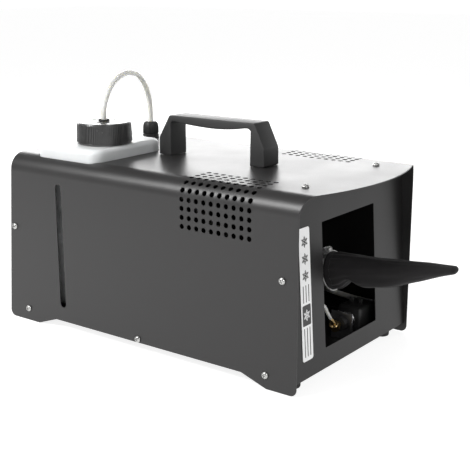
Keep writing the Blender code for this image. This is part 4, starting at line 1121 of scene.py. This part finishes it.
cap_mesh = ribbed("ribbed_cap", skirt, rib, 90)
cap_mesh.transform(Matrix.Translation(cap_spot))
piece("ribbed_cap", cap_mesh, ribbed_black, "black_plastic", "tank_cap", body="cap")
bm = bmesh.new()
turned(bm, (
    (0.0044, 0.0274), (0.0048, 0.0279), (0.0056, 0.0279), (0.0064, 0.0275), (0.0069, 0.0268),
    (0.0070, 0.0260), (0.0049, 0.0260), (0.0049, 0.0229), (0.0066, 0.0229), (0.0066, 0.0216),
    (0.0062, 0.0212), (0.0044, 0.0212),
), 48, Matrix.Translation(cap_spot))
formed("tube_grommet", bm, black_rubber, "rubber", "cap_grommet", body="cap", angle=40)
bm = bmesh.new()
turned(bm, (
    (0.0256, 0.0229), (0.0278, 0.0229), (0.0280, 0.0227), (0.0280, 0.0206), (0.0278, 0.0204),
    (0.0256, 0.0204), (0.0255, 0.0206), (0.0255, 0.0227),
), 64, Matrix.Translation(cap_spot))
formed("neck_seal", bm, black_rubber, "rubber", "cap_seal", body="cap_lift", angle=40)


# ---- gland ------------------------------------------------------------------------------------------
# A black nylon gland in the cover's top: flange, hexagon, and a ribbed dome nut that grips the tube.
# A locknut holds it from below.

gland_frame = Matrix.Translation((gland_spot.x, gland_spot.y, 0))
bm = bmesh.new()
turned(bm, (
    (0.0046, 0.2262), (0.0078, 0.2262), (0.0078, 0.2180), (0.0100, 0.2180), (0.0100, 0.2150),
    (0.0106, 0.2148), (0.0108, 0.2144), (0.0108, 0.2129), (0.0107, 0.2128), (0.0074, 0.2128),
    (0.0074, 0.2015), (0.0046, 0.2015),
), 60, gland_frame)
prism(bm, circle(0, 0, 0.0107, 6), 0.2150, 0.2176, 0.0004, 2, gland_frame)
formed("gland_base", bm, moulded_black, "black_plastic", "gland_body")
bm = bmesh.new()
turned(bm, (
    (0.0040, 0.2343), (0.0046, 0.2345), (0.0068, 0.2345), (0.0076, 0.2340), (0.0086, 0.2326),
    (0.0094, 0.2302), (0.0098, 0.2270), (0.0098, 0.2190), (0.0096, 0.2183), (0.0083, 0.2183),
    (0.0083, 0.2270), (0.0040, 0.2300),
), 60, gland_frame)
dome = settled("gland_dome", bm)
dome.transform(gland_frame.inverted())
rib = bmesh.new()
path = ((0.0066, 0.2342, 0.2), (0.0080, 0.2334, 0.8), (0.0090, 0.2314, 1.0), (0.0097, 0.2280, 1.0),
        (0.0099, 0.2240, 1.0), (0.0099, 0.2196, 1.0), (0.0097, 0.2188, 0.4))
skinned(rib, [[(r + x * 0.55 * s, y * 0.9, z) for x, y in section] for r, z, s in reversed(path)])
nut = ribbed("gland_dome_nut", dome, rib, 24)
nut.transform(gland_frame)
piece("gland_dome_nut", nut, moulded_black, "black_plastic", "gland_nut")
bm = bmesh.new()
turned(bm, (
    (0.0079, 0.2110), (0.0109, 0.2110), (0.0112, 0.2107), (0.0112, 0.2068), (0.0109, 0.2065),
    (0.0079, 0.2065),
), 6, gland_frame)
formed("gland_locking_nut", bm, moulded_black, "black_plastic", "gland_locknut")


# ---- handle -----------------------------------------------------------------------------------------
# One solid black moulding with slanted shoulders, a thumb-thick grip that swells under the fingers,
# and a fine leathery grain. Two bolts hold it from inside the cover.


def eased_outline(outline, reach, steps=4):
    """The outline with each corner rounded over up to the reach from it."""
    points = []
    corners = [Vector(p) for p in outline]
    for i, corner in enumerate(corners):
        before, after = corners[i - 1] - corner, corners[(i + 1) % len(corners)] - corner
        cut = min(reach, before.length * 0.45, after.length * 0.45)
        start, end = corner + before.normalized() * cut, corner + after.normalized() * cut
        for k in range(steps + 1):
            t = k / steps
            points.append(tuple(start * (1 - t) ** 2 + corner * 2 * t * (1 - t) + end * t**2))
    return points


grip_black, tone, place = new_finish("grained_black_moulding")
leather = tone.node(
    "ShaderNodeTexVoronoi", {"feature": "SMOOTH_F1"}, {"Vector": place, "Scale": 900.0}, "Distance"
)
spark = tone.spots(place, 0.0012, 3.0)
cloud = tone.spots(place, 0.040)
coated(
    tone, Base_Color=tone.between(cloud, grey(0.020), grey(0.027)), Roughness=0.40 + spark * 0.14,
    Specular_IOR_Level=0.5, Normal=tone.bumped(leather * 0.5 + spark * 0.5, 0.00012, 0.7),
)
base_z = 0.2128
outer = [
    (0.0530, base_z), (0.0526, 0.2342), (0.0364, 0.2614), (-0.0890, 0.2620), (-0.1028, 0.2340),
    (-0.1032, base_z), (-0.0850, base_z),
]
under = smooth_route(
    [(-0.0835, 0.2530), (-0.0780, 0.2553), (-0.0580, 0.2525), (-0.0350, 0.2508), (-0.0100, 0.2512),
     (0.0110, 0.2525), (0.0290, 0.2545)], 5,
)
handle_side = eased_outline(outer, 0.0022) + [tuple(p) for p in under]
handle_side += [(0.0334, 0.2536), (0.0342, 0.2500), (0.0342, base_z)]
handle_frame = (
    Matrix.Translation((0, back_y, 0)) @ Matrix.Rotation(math.pi / 2, 4, "Z")
    @ Matrix.Rotation(math.pi / 2, 4, "X")
)
bm = bmesh.new()
prism(bm, handle_side, -0.0175, 0.0120, 0.0013, 3, handle_frame)
formed("carry_handle", bm, grip_black, "black_plastic", "handle", angle=24)
bm = bmesh.new()
for y in bolt_rows:
    spot = Matrix.Translation((bolt_x, y + back_y, 0))
    turned(bm, (
        (0, 0.2265), (0.0020, 0.2265), (0.0024, 0.2261), (0.0024, 0.2110), (0.0048, 0.2110), (0.0050, 0.2108),
        (0.0050, 0.2092), (0.0042, 0.2084), (0, 0.2080),
    ), 28, spot)
formed("handle_bolts", bm, zinc, "zinc_plate", "handle_bolt_rear", "handle_bolt_front")


# ---- blower -----------------------------------------------------------------------------------------
# A drum fan on a folded bracket: motor behind, backward-leaning blades on a steel shaft, and a
# moulded funnel that narrows to the outlet pipe. The fan turns.

blower_frame = Matrix.Translation((0, -0.190 + back_y, 0.1039)) @ Matrix.Rotation(math.radians(79.8), 4, "X")
bm = bmesh.new()
turned(bm, (
    (0.0185, 0), (0.0198, 0), (0.0200, -0.0002), (0.0200, -0.0480), (0.0208, -0.0505), (0.0528, -0.0712),
    (0.0545, -0.0722), (0.0575, -0.0725), (0.0580, -0.0728), (0.0580, -0.0747), (0.0577, -0.0750),
    (0.0530, -0.0750), (0.0192, -0.0518), (0.0185, -0.0500),
), 96, blower_frame)
formed("outlet_funnel", bm, moulded_black, "black_plastic", "outlet_pipe")
bm = bmesh.new()
turned(bm, (
    (0.0530, -0.0753), (0.0577, -0.0753), (0.0580, -0.0756), (0.0580, -0.0775), (0.0577, -0.0778),
    (0.0550, -0.0780), (0.0550, -0.1230), (0.0545, -0.1246), (0.0530, -0.1250), (0.0300, -0.1250),
    (0.0300, -0.1230), (0.0530, -0.1230),
), 96, blower_frame)
post_profile = ((0, -0.1240), (0.0020, -0.1240), (0.0020, -0.1347), (0, -0.1347))
for k in range(3):
    turned(bm, post_profile, 16, blower_frame @ moved_out(0.0328, math.radians(90 + 120 * k)))
boss_profile = ((0, -0.0779), (0.0016, -0.0779), (0.0018, -0.0781), (0.0018, -0.0796), (0, -0.0802))
for k in range(8):
    turned(bm, boss_profile, 14, blower_frame @ moved_out(0.0555, math.tau * (k + 0.5) / 8))
formed("fan_drum", bm, moulded_black, "black_plastic", "blower_housing")
bm = bmesh.new()
turned(bm, (
    (0.0043, -0.1350), (0.0305, -0.1350), (0.0345, -0.1380), (0.0352, -0.1386), (0.0352, -0.1398),
    (0.0345, -0.1402), (0.0340, -0.1404), (0.0340, -0.1775), (0.0332, -0.1785), (0.0282, -0.1828),
    (0.0272, -0.1830), (0.0100, -0.1830), (0.0085, -0.1875), (0.0078, -0.1880), (0, -0.1880), (0, -0.1500),
    (0.0043, -0.1500),
), 80, blower_frame)
nut_profile = ((0, -0.1826), (0.0022, -0.1826), (0.0024, -0.1829), (0.0024, -0.1843), (0, -0.1848))
for x in (0.020, -0.020):
    turned(bm, nut_profile, 6, blower_frame @ Matrix.Translation((x, 0, 0)))
formed("fan_motor", bm, zinc, "zinc_plate", "blower_motor")
bm = bmesh.new()
turned(bm, (
    (0, -0.0840), (0.0036, -0.0840), (0.0040, -0.0844), (0.0040, -0.1495), (0, -0.1495),
), 32, blower_frame)
formed("motor_shaft", bm, bright_steel, "bright_steel", "fan_shaft", body="rotor")
blade = bmesh.new()
stations = 7
for k in range(stations):
    t = k / (stations - 1)
    reach = 0.0130 + 0.0350 * t
    turn = math.radians(-6 + 34 * t)
    spot = Vector((reach * math.cos(turn), reach * math.sin(turn), 0))
    side = Vector((-math.sin(turn + 0.5), math.cos(turn + 0.5), 0)) * 0.0005
    for s in (-1, 1):
        for z in (-0.1012, -0.1180 + 0.0035 * t):
            blade.verts.new((*(spot + side * s).xy, z))
blade.verts.ensure_lookup_table()
for k in range(stations - 1):
    a, b = 4 * k, 4 * k + 4
    for i, j in ((0, 1), (1, 3), (3, 2), (2, 0)):
        blade.faces.new([blade.verts[n] for n in (a + i, a + j, b + j, b + i)])
for first in (0, 4 * stations - 4):
    blade.faces.new([blade.verts[first + n] for n in (0, 1, 3, 2)])
bmesh.ops.recalc_face_normals(blade, faces=blade.faces)
bm = bmesh.new()
turned(bm, (
    (0.0043, -0.0860), (0.0095, -0.0860), (0.0102, -0.0866), (0.0120, -0.0920), (0.0122, -0.0995),
    (0.0130, -0.1000), (0.0487, -0.1000), (0.0490, -0.1003), (0.0490, -0.1017), (0.0487, -0.1020),
    (0.0043, -0.1020),
), 80)
fan = ribbed("fan_wheel", settled("fan_disc", bm), blade, 11)
fan.transform(blower_frame)
piece("fan_wheel", fan, zinc, "zinc_plate", "impeller", body="rotor")
eased_piece("fan_bracket", "blower_bracket", 0.0003, zinc, "zinc_plate")


# ---- pump and fluid lines ---------------------------------------------------------------------------
# A small vibrating pump in a folded bracket draws fluid through a clear hose from the gland, and
# pushes it through a brass elbow and a thin clear line to the brass spray nozzle on the outlet pipe.

eased_piece("pump_block", "pump_body", 0.0005, moulded_black, "black_plastic")
eased_piece("pump_cradle", "pump_bracket", 0.0003, zinc, "zinc_plate")
pump_y, pump_z = -0.185 + back_y, 0.034
bm = bmesh.new()
for x in (0.0365, 0.0425, 0.0785):
    ring_frame = Matrix.Translation((x, pump_y, pump_z)) @ Matrix.Rotation(math.pi / 2, 4, "Y")
    turned(bm, (
        (0.0087, 0.0012), (0.0098, 0.0012), (0.0100, 0.0010), (0.0100, -0.0010), (0.0098, -0.0012),
        (0.0087, -0.0012),
    ), 32, ring_frame)
for y in (-0.006, 0.006):
    brick(bm, (0.0560, pump_y + y - 0.0024, 0.0490), (0.0568, pump_y + y + 0.0024, 0.0555), 0.0002)
formed("pump_terminals", bm, nickel, "bright_steel")

brass, tone, place = new_finish("machined_brass")
lathe = tone.spots(tone.stretched(place, (1, 1, 8)), 0.0010, 3.0)
coated(
    tone, Base_Color=tone.between(lathe, (0.40, 0.28, 0.12, 1), (0.55, 0.41, 0.20, 1)), Metallic=1.0,
    Roughness=0.24 + lathe * 0.18, Normal=tone.bumped(lathe, 0.00003, 0.5),
)
pump_mouth = Matrix.Translation((0.018, pump_y, pump_z)) @ Matrix.Rotation(-math.pi / 2, 4, "Y")
elbow = Vector((0.0085, pump_y, pump_z))
lean = math.radians(38)
bm = bmesh.new()
turned(bm, (
    (0, 0.0120), (0.0036, 0.0120), (0.0045, 0.0114), (0.0045, 0.0056), (0.0036, 0.0050), (0.0036, 0.0004),
    (0, 0.0004),
), 6, pump_mouth)
turned(bm, (
    (0, 0.0149), (0.0014, 0.0149), (0.0019, 0.0144), (0.0028, 0.0122), (0.0028, 0.0119), (0.0021, 0.0118),
    (0.0028, 0.0098), (0.0028, 0.0095), (0.0021, 0.0094), (0.0029, 0.0068), (0.0029, 0.0050),
    (0.0050, 0.0046), (0.0055, 0.0041), (0.0055, -0.0040), (0.0050, -0.0045), (0, -0.0045),
), 32, Matrix.Translation(elbow) @ Matrix.Rotation(-lean, 4, "Y"))
formed("pump_elbow", bm, brass, "brass", "pump_fitting")
nozzle_frame = (
    blower_frame @ Matrix.Translation((-0.0203, 0, -0.0220)) @ Matrix.Rotation(-math.pi / 2, 4, "Y")
)
bm = bmesh.new()
turned(bm, (
    (0, 0.0126), (0.0018, 0.0126), (0.0022, 0.0122), (0.0026, 0.0100), (0.0022, 0.0098), (0.0028, 0.0080),
    (0.0040, 0.0077), (0.0048, 0.0072), (0.0048, 0.0026), (0.0044, 0.0022), (0, 0.0022),
), 32, nozzle_frame)
formed("brass_nozzle", bm, brass, "brass", "spray_nozzle")

leaning = Vector((-math.sin(lean), 0, math.cos(lean)))
nozzle = blower_frame @ Vector((-0.0330, 0, -0.0220))
line_start = elbow + leaning * 0.0153
delivery = (
    line_start, line_start + leaning * 0.012, line_start + leaning * 0.026 + Vector((-0.001, 0, 0)),
    Vector((-0.0440, -0.183 + back_y, 0.078)), Vector((-0.0520, -0.178 + back_y, 0.0935)),
    Vector((-0.0470, -0.172 + back_y, 0.1020)), nozzle + Vector((-0.006, 0, 0.0005)),
    nozzle + Vector((-0.0003, 0, 0)),
)
bm = bmesh.new()
hose(bm, smooth_route(delivery, 8), 0.0020, 0.0012, 20)
formed("spray_line", bm, silicone, "clear_tube", "delivery_tube", angle=40)
bm = bmesh.new()
dip = [(cap_spot.x, cap_spot.y, z) for z in (0.2553, 0.2000, 0.1400, 0.0490)]
hose(bm, dip, tube_radius, tube_bore, 28)
formed("dip_hose", bm, silicone, "clear_tube", "suction_tube", angle=40)
suction = (
    (gland_x, gland_y, 0.2345), (gland_x, gland_y, 0.215), (gland_x, gland_y, 0.195), (0.073, 0.132, 0.165),
    (0.088, 0.070, 0.112), (0.100, 0.000, 0.075), (0.106, -0.060, 0.052), (0.109, -0.120, 0.038),
    (0.1100, -0.160, 0.034), (0.1095, -0.1790, 0.034), (0.1060, -0.185, 0.034), (0.1006, -0.185, 0.034),
)
bm = bmesh.new()
hose(bm, smooth_route([(x, y + back_y, z) for x, y, z in suction], 6), tube_radius, tube_bore, 24)
formed("pump_hose", bm, silicone, "clear_tube", "pump_tube", angle=40)
bm = bmesh.new()
rim, groove = 0.0090, 0.0082
filter_profile = [(0, 0.0487), (0.0062, 0.0487), (0.0070, 0.0482), (0.0088, 0.0462), (rim, 0.0454)]
for k in range(7):
    z = 0.0440 - 0.0031 * k
    filter_profile += [(rim, z), (groove, z - 0.0004), (groove, z - 0.0011), (rim, z - 0.0015)]
filter_profile += [(0.0088, 0.0218), (0.0072, 0.0197), (0, 0.0195)]
turned(bm, filter_profile, 40, Matrix.Translation(cap_foot))
formed("dip_filter", bm, zinc, "zinc_plate", "suction_filter")


# ---- control board and leads ------------------------------------------------------------------------
# A green circuit board on four standoffs beside the tank, with a relay, capacitors and terminals, and
# two black leads: one from the mains inlet to the board, one from the board to the blower motor.

board_green, tone, place = new_finish("board_lacquer")
tracks = tone.node(
    "ShaderNodeTexBrick", {"offset": 0.37, "squash": 1.6}, {
        "Vector": place, "Scale": 90.0, "Mortar Size": 0.05, "Color1": grey(0), "Color2": grey(0),
        "Mortar": grey(1),
    },
)
cloud = tone.spots(place, 0.004)
coated(
    tone, Base_Color=tone.between(tracks * 0.8, (0.012, 0.085, 0.032, 1), (0.035, 0.19, 0.07, 1)),
    Roughness=0.26 + cloud * 0.12, Normal=tone.bumped(tracks, 0.00005, 0.6),
)
eased_piece("green_board", "control_board", 0.0003, board_green, "circuit_board")
bm = bmesh.new()
deck = 0.0227
capacitors = (
    (0.0835, 0.128, 0.004, 0.0390), (0.0930, 0.128, 0.004, 0.0390), (0.0740, 0.122, 0.0028, 0.0340),
)
for x, y, r, top in capacitors:
    can = ((0, top), (r * 0.9, top), (r, top - 0.0006), (r, deck), (0, deck))
    turned(bm, can, 28, Matrix.Translation((x, y + back_y, 0)))
for k in range(6):
    y = 0.0900 + 0.008 * k + back_y
    brick(bm, (0.0400, y, deck), (0.0425, y + 0.0045, deck + 0.0022), 0.0003)
formed("board_parts", bm, gloss_black, "black_plastic")
bm = bmesh.new()
block_front, block_rear = 0.143 + back_y, 0.1515 + back_y
screw_profile = ((0, 0.0321), (0.0019, 0.0321), (0.0021, 0.0319), (0.0021, 0.0311), (0, 0.0311))
for x in (0.040, 0.070):
    brick(bm, (x, block_front, deck), (x + 0.024, block_rear, deck + 0.0085), 0.0005)
    for k in range(3):
        spot = Matrix.Translation((x + 0.004 + 0.008 * k, (block_front + block_rear) / 2, 0))
        turned(bm, screw_profile, 20, spot)
formed("board_terminals", bm, nickel, "bright_steel")

lead_black, tone, place = new_finish("black_lead")
spark = tone.spots(place, 0.0008)
coated(
    tone, Base_Color=tone.between(spark, grey(0.012), grey(0.020)), Roughness=0.38 + spark * 0.14,
    Normal=tone.bumped(spark, 0.00004, 0.5),
)
leads = {
    "mains_lead": (
        (0.085, 0.1850, 0.052), (0.086, 0.1750, 0.052), (0.094, 0.1680, 0.045), (0.100, 0.1600, 0.0275),
    ),
    "motor_lead": (
        (0.060, 0.0840, 0.0330), (0.050, 0.0600, 0.0320), (0.030, 0.0250, 0.0450), (0.006, 0.0080, 0.0660),
    ),
}
for node, route in leads.items():
    bm = bmesh.new()
    hose(bm, smooth_route([(x, y + back_y, z) for x, y, z in route], 10), 0.003, 0, 20)
    formed("inner_" + node, bm, lead_black, "black_plastic", node, angle=40)


# ---- outlet sock and its clamp ----------------------------------------------------------------------
# A tapered sock of fine black woven cloth that breaks the foam into flakes. It is cut from one piece,
# closed by a seam underneath and sewn flat at the tip, and a steel worm clamp holds it on the pipe.

sock_tip, sock_mouth = 0.147, -0.014
mouth_radius = 0.0205
clamp_edge = -0.0115
tip_run = 0.0040
thread_pitch = 250.0
woven_black, tone, place = new_finish("woven_black_cloth")
threads = tone.node("ShaderNodeUVMap", {"uv_map": "cut"}, out="UV")
warp, weft = (
    tone.node(
        "ShaderNodeTexWave", {"bands_direction": way},
        {"Vector": threads, "Scale": thread_pitch, "Distortion": 0.4}, "Fac",
    )
    for way in "XY"
)
slub = tone.spots(place, 0.0035, 4.0)
weave = warp * 0.5 + weft * 0.5
coated(
    tone, Base_Color=tone.between(
        weave * 0.6 + slub * 0.4, (0.0050, 0.0046, 0.0050, 1), (0.0150, 0.0138, 0.0145, 1)
    ),
    Roughness=0.72 + slub * 0.16, Specular_IOR_Level=0.25, Sheen_Weight=0.06, Sheen_Roughness=0.45,
    Normal=tone.bumped(weave + slub * 0.6, 0.0002, 0.6),
)


def sock_point(s, turn):
    """The cloth's middle at a distance s along the pipe's line and at a turn round it from its top."""
    taper = min(max((s - 0.004) / (sock_tip - 0.004), 0.0), 1.0)
    up, across = math.cos(turn), math.sin(turn)
    wide = mouth_radius - 0.0125 * taper - 0.0020 * math.sin(math.pi * taper)
    high = mouth_radius - 0.0165 * taper
    low = high + 0.0044 * math.sin(math.pi * min(taper * 1.05, 1.0)) ** 1.6
    low -= 0.0085 * math.exp(-(((s - 0.0215) / 0.0085) ** 2)) * min(max(s / 0.006, 0.0), 1.0)
    x = wide * across
    y = (high if up > 0 else low) * up
    if s > 0:
        gather = math.exp(-s / 0.020) * min(s / 0.004, 1.0)
        ripple = 0.0011 * gather * math.cos(15 * turn + 1.3 * math.sin(2 * turn))
        fold = 0.0012 * math.sin(math.pi * taper) * math.cos(3 * turn + 34 * s + 0.6)
        crease = 0.0016 * math.sin(math.pi * taper) * noise.noise(Vector((across * 2, up * 2, s * 38)))
        swell = 1 + (ripple + fold + crease) / mouth_radius
        x, y = x * swell, y * swell
    elif s < clamp_edge:
        flare = (clamp_edge - s) / (clamp_edge - sock_mouth)
        swell = 1 + (0.0006 + 0.0005 * math.cos(17 * turn)) * flare / mouth_radius
        x, y = x * swell, y * swell
    end = max((s - (sock_tip - tip_run)) / tip_run, 0.0)
    close = math.sqrt(max(1 - end**2, 0.0))
    return Vector((x * close, y * close, s))


gathered_run, plain_run = 0.0135, 0.1265
along = [sock_mouth, -0.0135, -0.0125, clamp_edge, -0.0100, -0.0085, -0.0055, -0.0025, -0.0010]
along += [gathered_run * (k / 14) for k in range(15)]
along += [gathered_run + plain_run * (k + 1) / 96 for k in range(96)]
along += [sock_tip - tip_run * (1 - math.sin(math.pi / 2 * k / 7)) for k in range(1, 7)]
around = 120
sleeve_width = 0.129
bm = bmesh.new()
cut_map = bm.loops.layers.uv.new("cut")
rings = [
    [bm.verts.new(blower_frame @ sock_point(s, math.tau * k / around + math.pi)) for k in range(around)]
    for s in along
]
tip = bm.verts.new(blower_frame @ Vector((0, 0, sock_tip)))


def on_cut(face, corners):
    for loop, (k, s) in zip(face.loops, corners):
        loop[cut_map].uv = (sleeve_width * k / around, s)


for (s, a), (t, b) in zip(zip(along, rings), zip(along[1:], rings[1:])):
    for k in range(around):
        j = (k + 1) % around
        on_cut(bm.faces.new((a[k], b[k], b[j], a[j])), ((k, s), (k, t), (k + 1, t), (k + 1, s)))
for k in range(around):
    j = (k + 1) % around
    face = bm.faces.new((rings[-1][k], tip, rings[-1][j]))
    on_cut(face, ((k, along[-1]), (k + 0.5, sock_tip), (k + 1, along[-1])))
bm.normal_update()
if sum(f.calc_area() * f.normal.dot(f.calc_center_median() - tip.co) for f in bm.faces) < 0:
    bmesh.ops.reverse_faces(bm, faces=bm.faces)
cloth_area = sum(f.calc_area() for f in bm.faces)
holder = linked("outlet_cloth", settled("outlet_cloth", bm, 60))
wall = holder.modifiers.new("cloth", "SOLIDIFY")
wall.thickness = 0.0005
wall.offset = -1
sock = piece("outlet_cloth", finished(holder), woven_black, "black_cloth", "outlet_sock")

thread, tone, place = new_finish("black_thread")
twist = tone.spots(place, 0.0004)
coated(
    tone, Base_Color=tone.between(twist, grey(0.008), grey(0.020)), Roughness=0.6 + twist * 0.2,
    Sheen_Weight=0.05, Normal=tone.bumped(twist, 0.00006, 0.6),
)
seam_lines = [
    [sock_point(0.002 + 0.138 * k / 90, math.pi + offset) for k in range(91)] for offset in (-0.09, 0.09)
]
seam_lines.append([sock_point(0.0035, math.tau * k / 90) for k in range(91)])
run_mesh = bpy.data.meshes.new("seam_runs")
spots, edges = [], []
for line in seam_lines:
    edges += [(len(spots) + k, len(spots) + k + 1) for k in range(len(line) - 1)]
    spots += [blower_frame @ (p + Vector((p.x, p.y, 0)).normalized() * 0.00012) for p in line]
run_mesh.from_pydata(spots, edges, [])
tree, (runs_in, pitch, size) = shape_tree(
    "stitched_seam", ("Stitch pitch", "Float"), ("Thread radius", "Float")
)
runs = runs_in.node("GeometryNodeMeshToCurve", {}, {"Mesh": runs_in})
marks = runs_in.node("GeometryNodeResampleCurve", {"mode": "LENGTH"}, {"Curve": runs, "Length": pitch})
tangent = runs_in.node("GeometryNodeInputTangent")
turn = runs_in.node("FunctionNodeAlignRotationToVector", {"axis": "Z"}, {"Vector": tangent})
stitch = runs_in.node("GeometryNodeMeshUVSphere", {}, {"Segments": 6, "Rings": 4, "Radius": 1.0})
shape = runs_in.node("ShaderNodeCombineXYZ", {}, {0: size, 1: size, 2: pitch * 0.36})
shape_out(runs_in.node(
    "GeometryNodeInstanceOnPoints", {},
    {"Points": marks, "Instance": stitch, "Rotation": turn, "Scale": shape},
), thread)
stitches = grown("sock_stitches", run_mesh, tree, 60, Stitch_pitch=0.0026, Thread_radius=0.00022)
stitches = piece("sock_stitches", stitches, thread, "black_cloth")

bm = bmesh.new()
turned(bm, (
    (0.0219, -0.0030), (0.0226, -0.0030), (0.0228, -0.0033), (0.0228, -0.0107), (0.0226, -0.0110),
    (0.0219, -0.0110), (0.0218, -0.0107), (0.0218, -0.0033),
), 96, blower_frame)
brick(bm, (-0.0058, 0.0224, -0.0113), (0.0040, 0.0236, -0.0027), 0.0004, 2, blower_frame)
housing = eased_outline([
    (0.0025, 0.0232), (0.0025, 0.0262), (0.0045, 0.0272), (0.0095, 0.0272), (0.0115, 0.0262),
    (0.0115, 0.0232),
], 0.0008)
prism(bm, housing, -0.0050, 0.0030, 0.0003, 2, blower_frame @ Matrix.Rotation(math.pi / 2, 4, "Y"))
clamp_mesh = settled("worm_clamp_band", bm, 30)
band_middle = -0.0070
worm = Matrix.Translation((0.0050, 0.0249, band_middle)) @ Matrix.Rotation(-math.pi / 2, 4, "Y")
bm = bmesh.new()
turned(bm, (
    (0, 0.0124), (0.0020, 0.0124), (0.0024, 0.0119), (0.0024, 0.0104), (0.0017, 0.0102), (0.0017, 0), (0, 0),
), 6, blower_frame @ worm)
formed("clamp_screw", bm, zinc, "bright_steel")
slot = bmesh.new()
slot_lean = Matrix.Rotation(0.12, 4, "X")
brick(slot, (0.02255, -0.00035, -0.0026), (0.02288, 0.00035, 0.0026), 0.0001, 1, slot_lean)
slots = ribbed("clamp_slots", points_mesh("no_points", []), slot, 56)
slots.transform(blower_frame @ Matrix.Translation((0, 0, band_middle)))
piece("clamp_slots", slots, gloss_black, "bright_steel")
piece("worm_clamp", clamp_mesh, bright_steel, "bright_steel", "clamp_band")
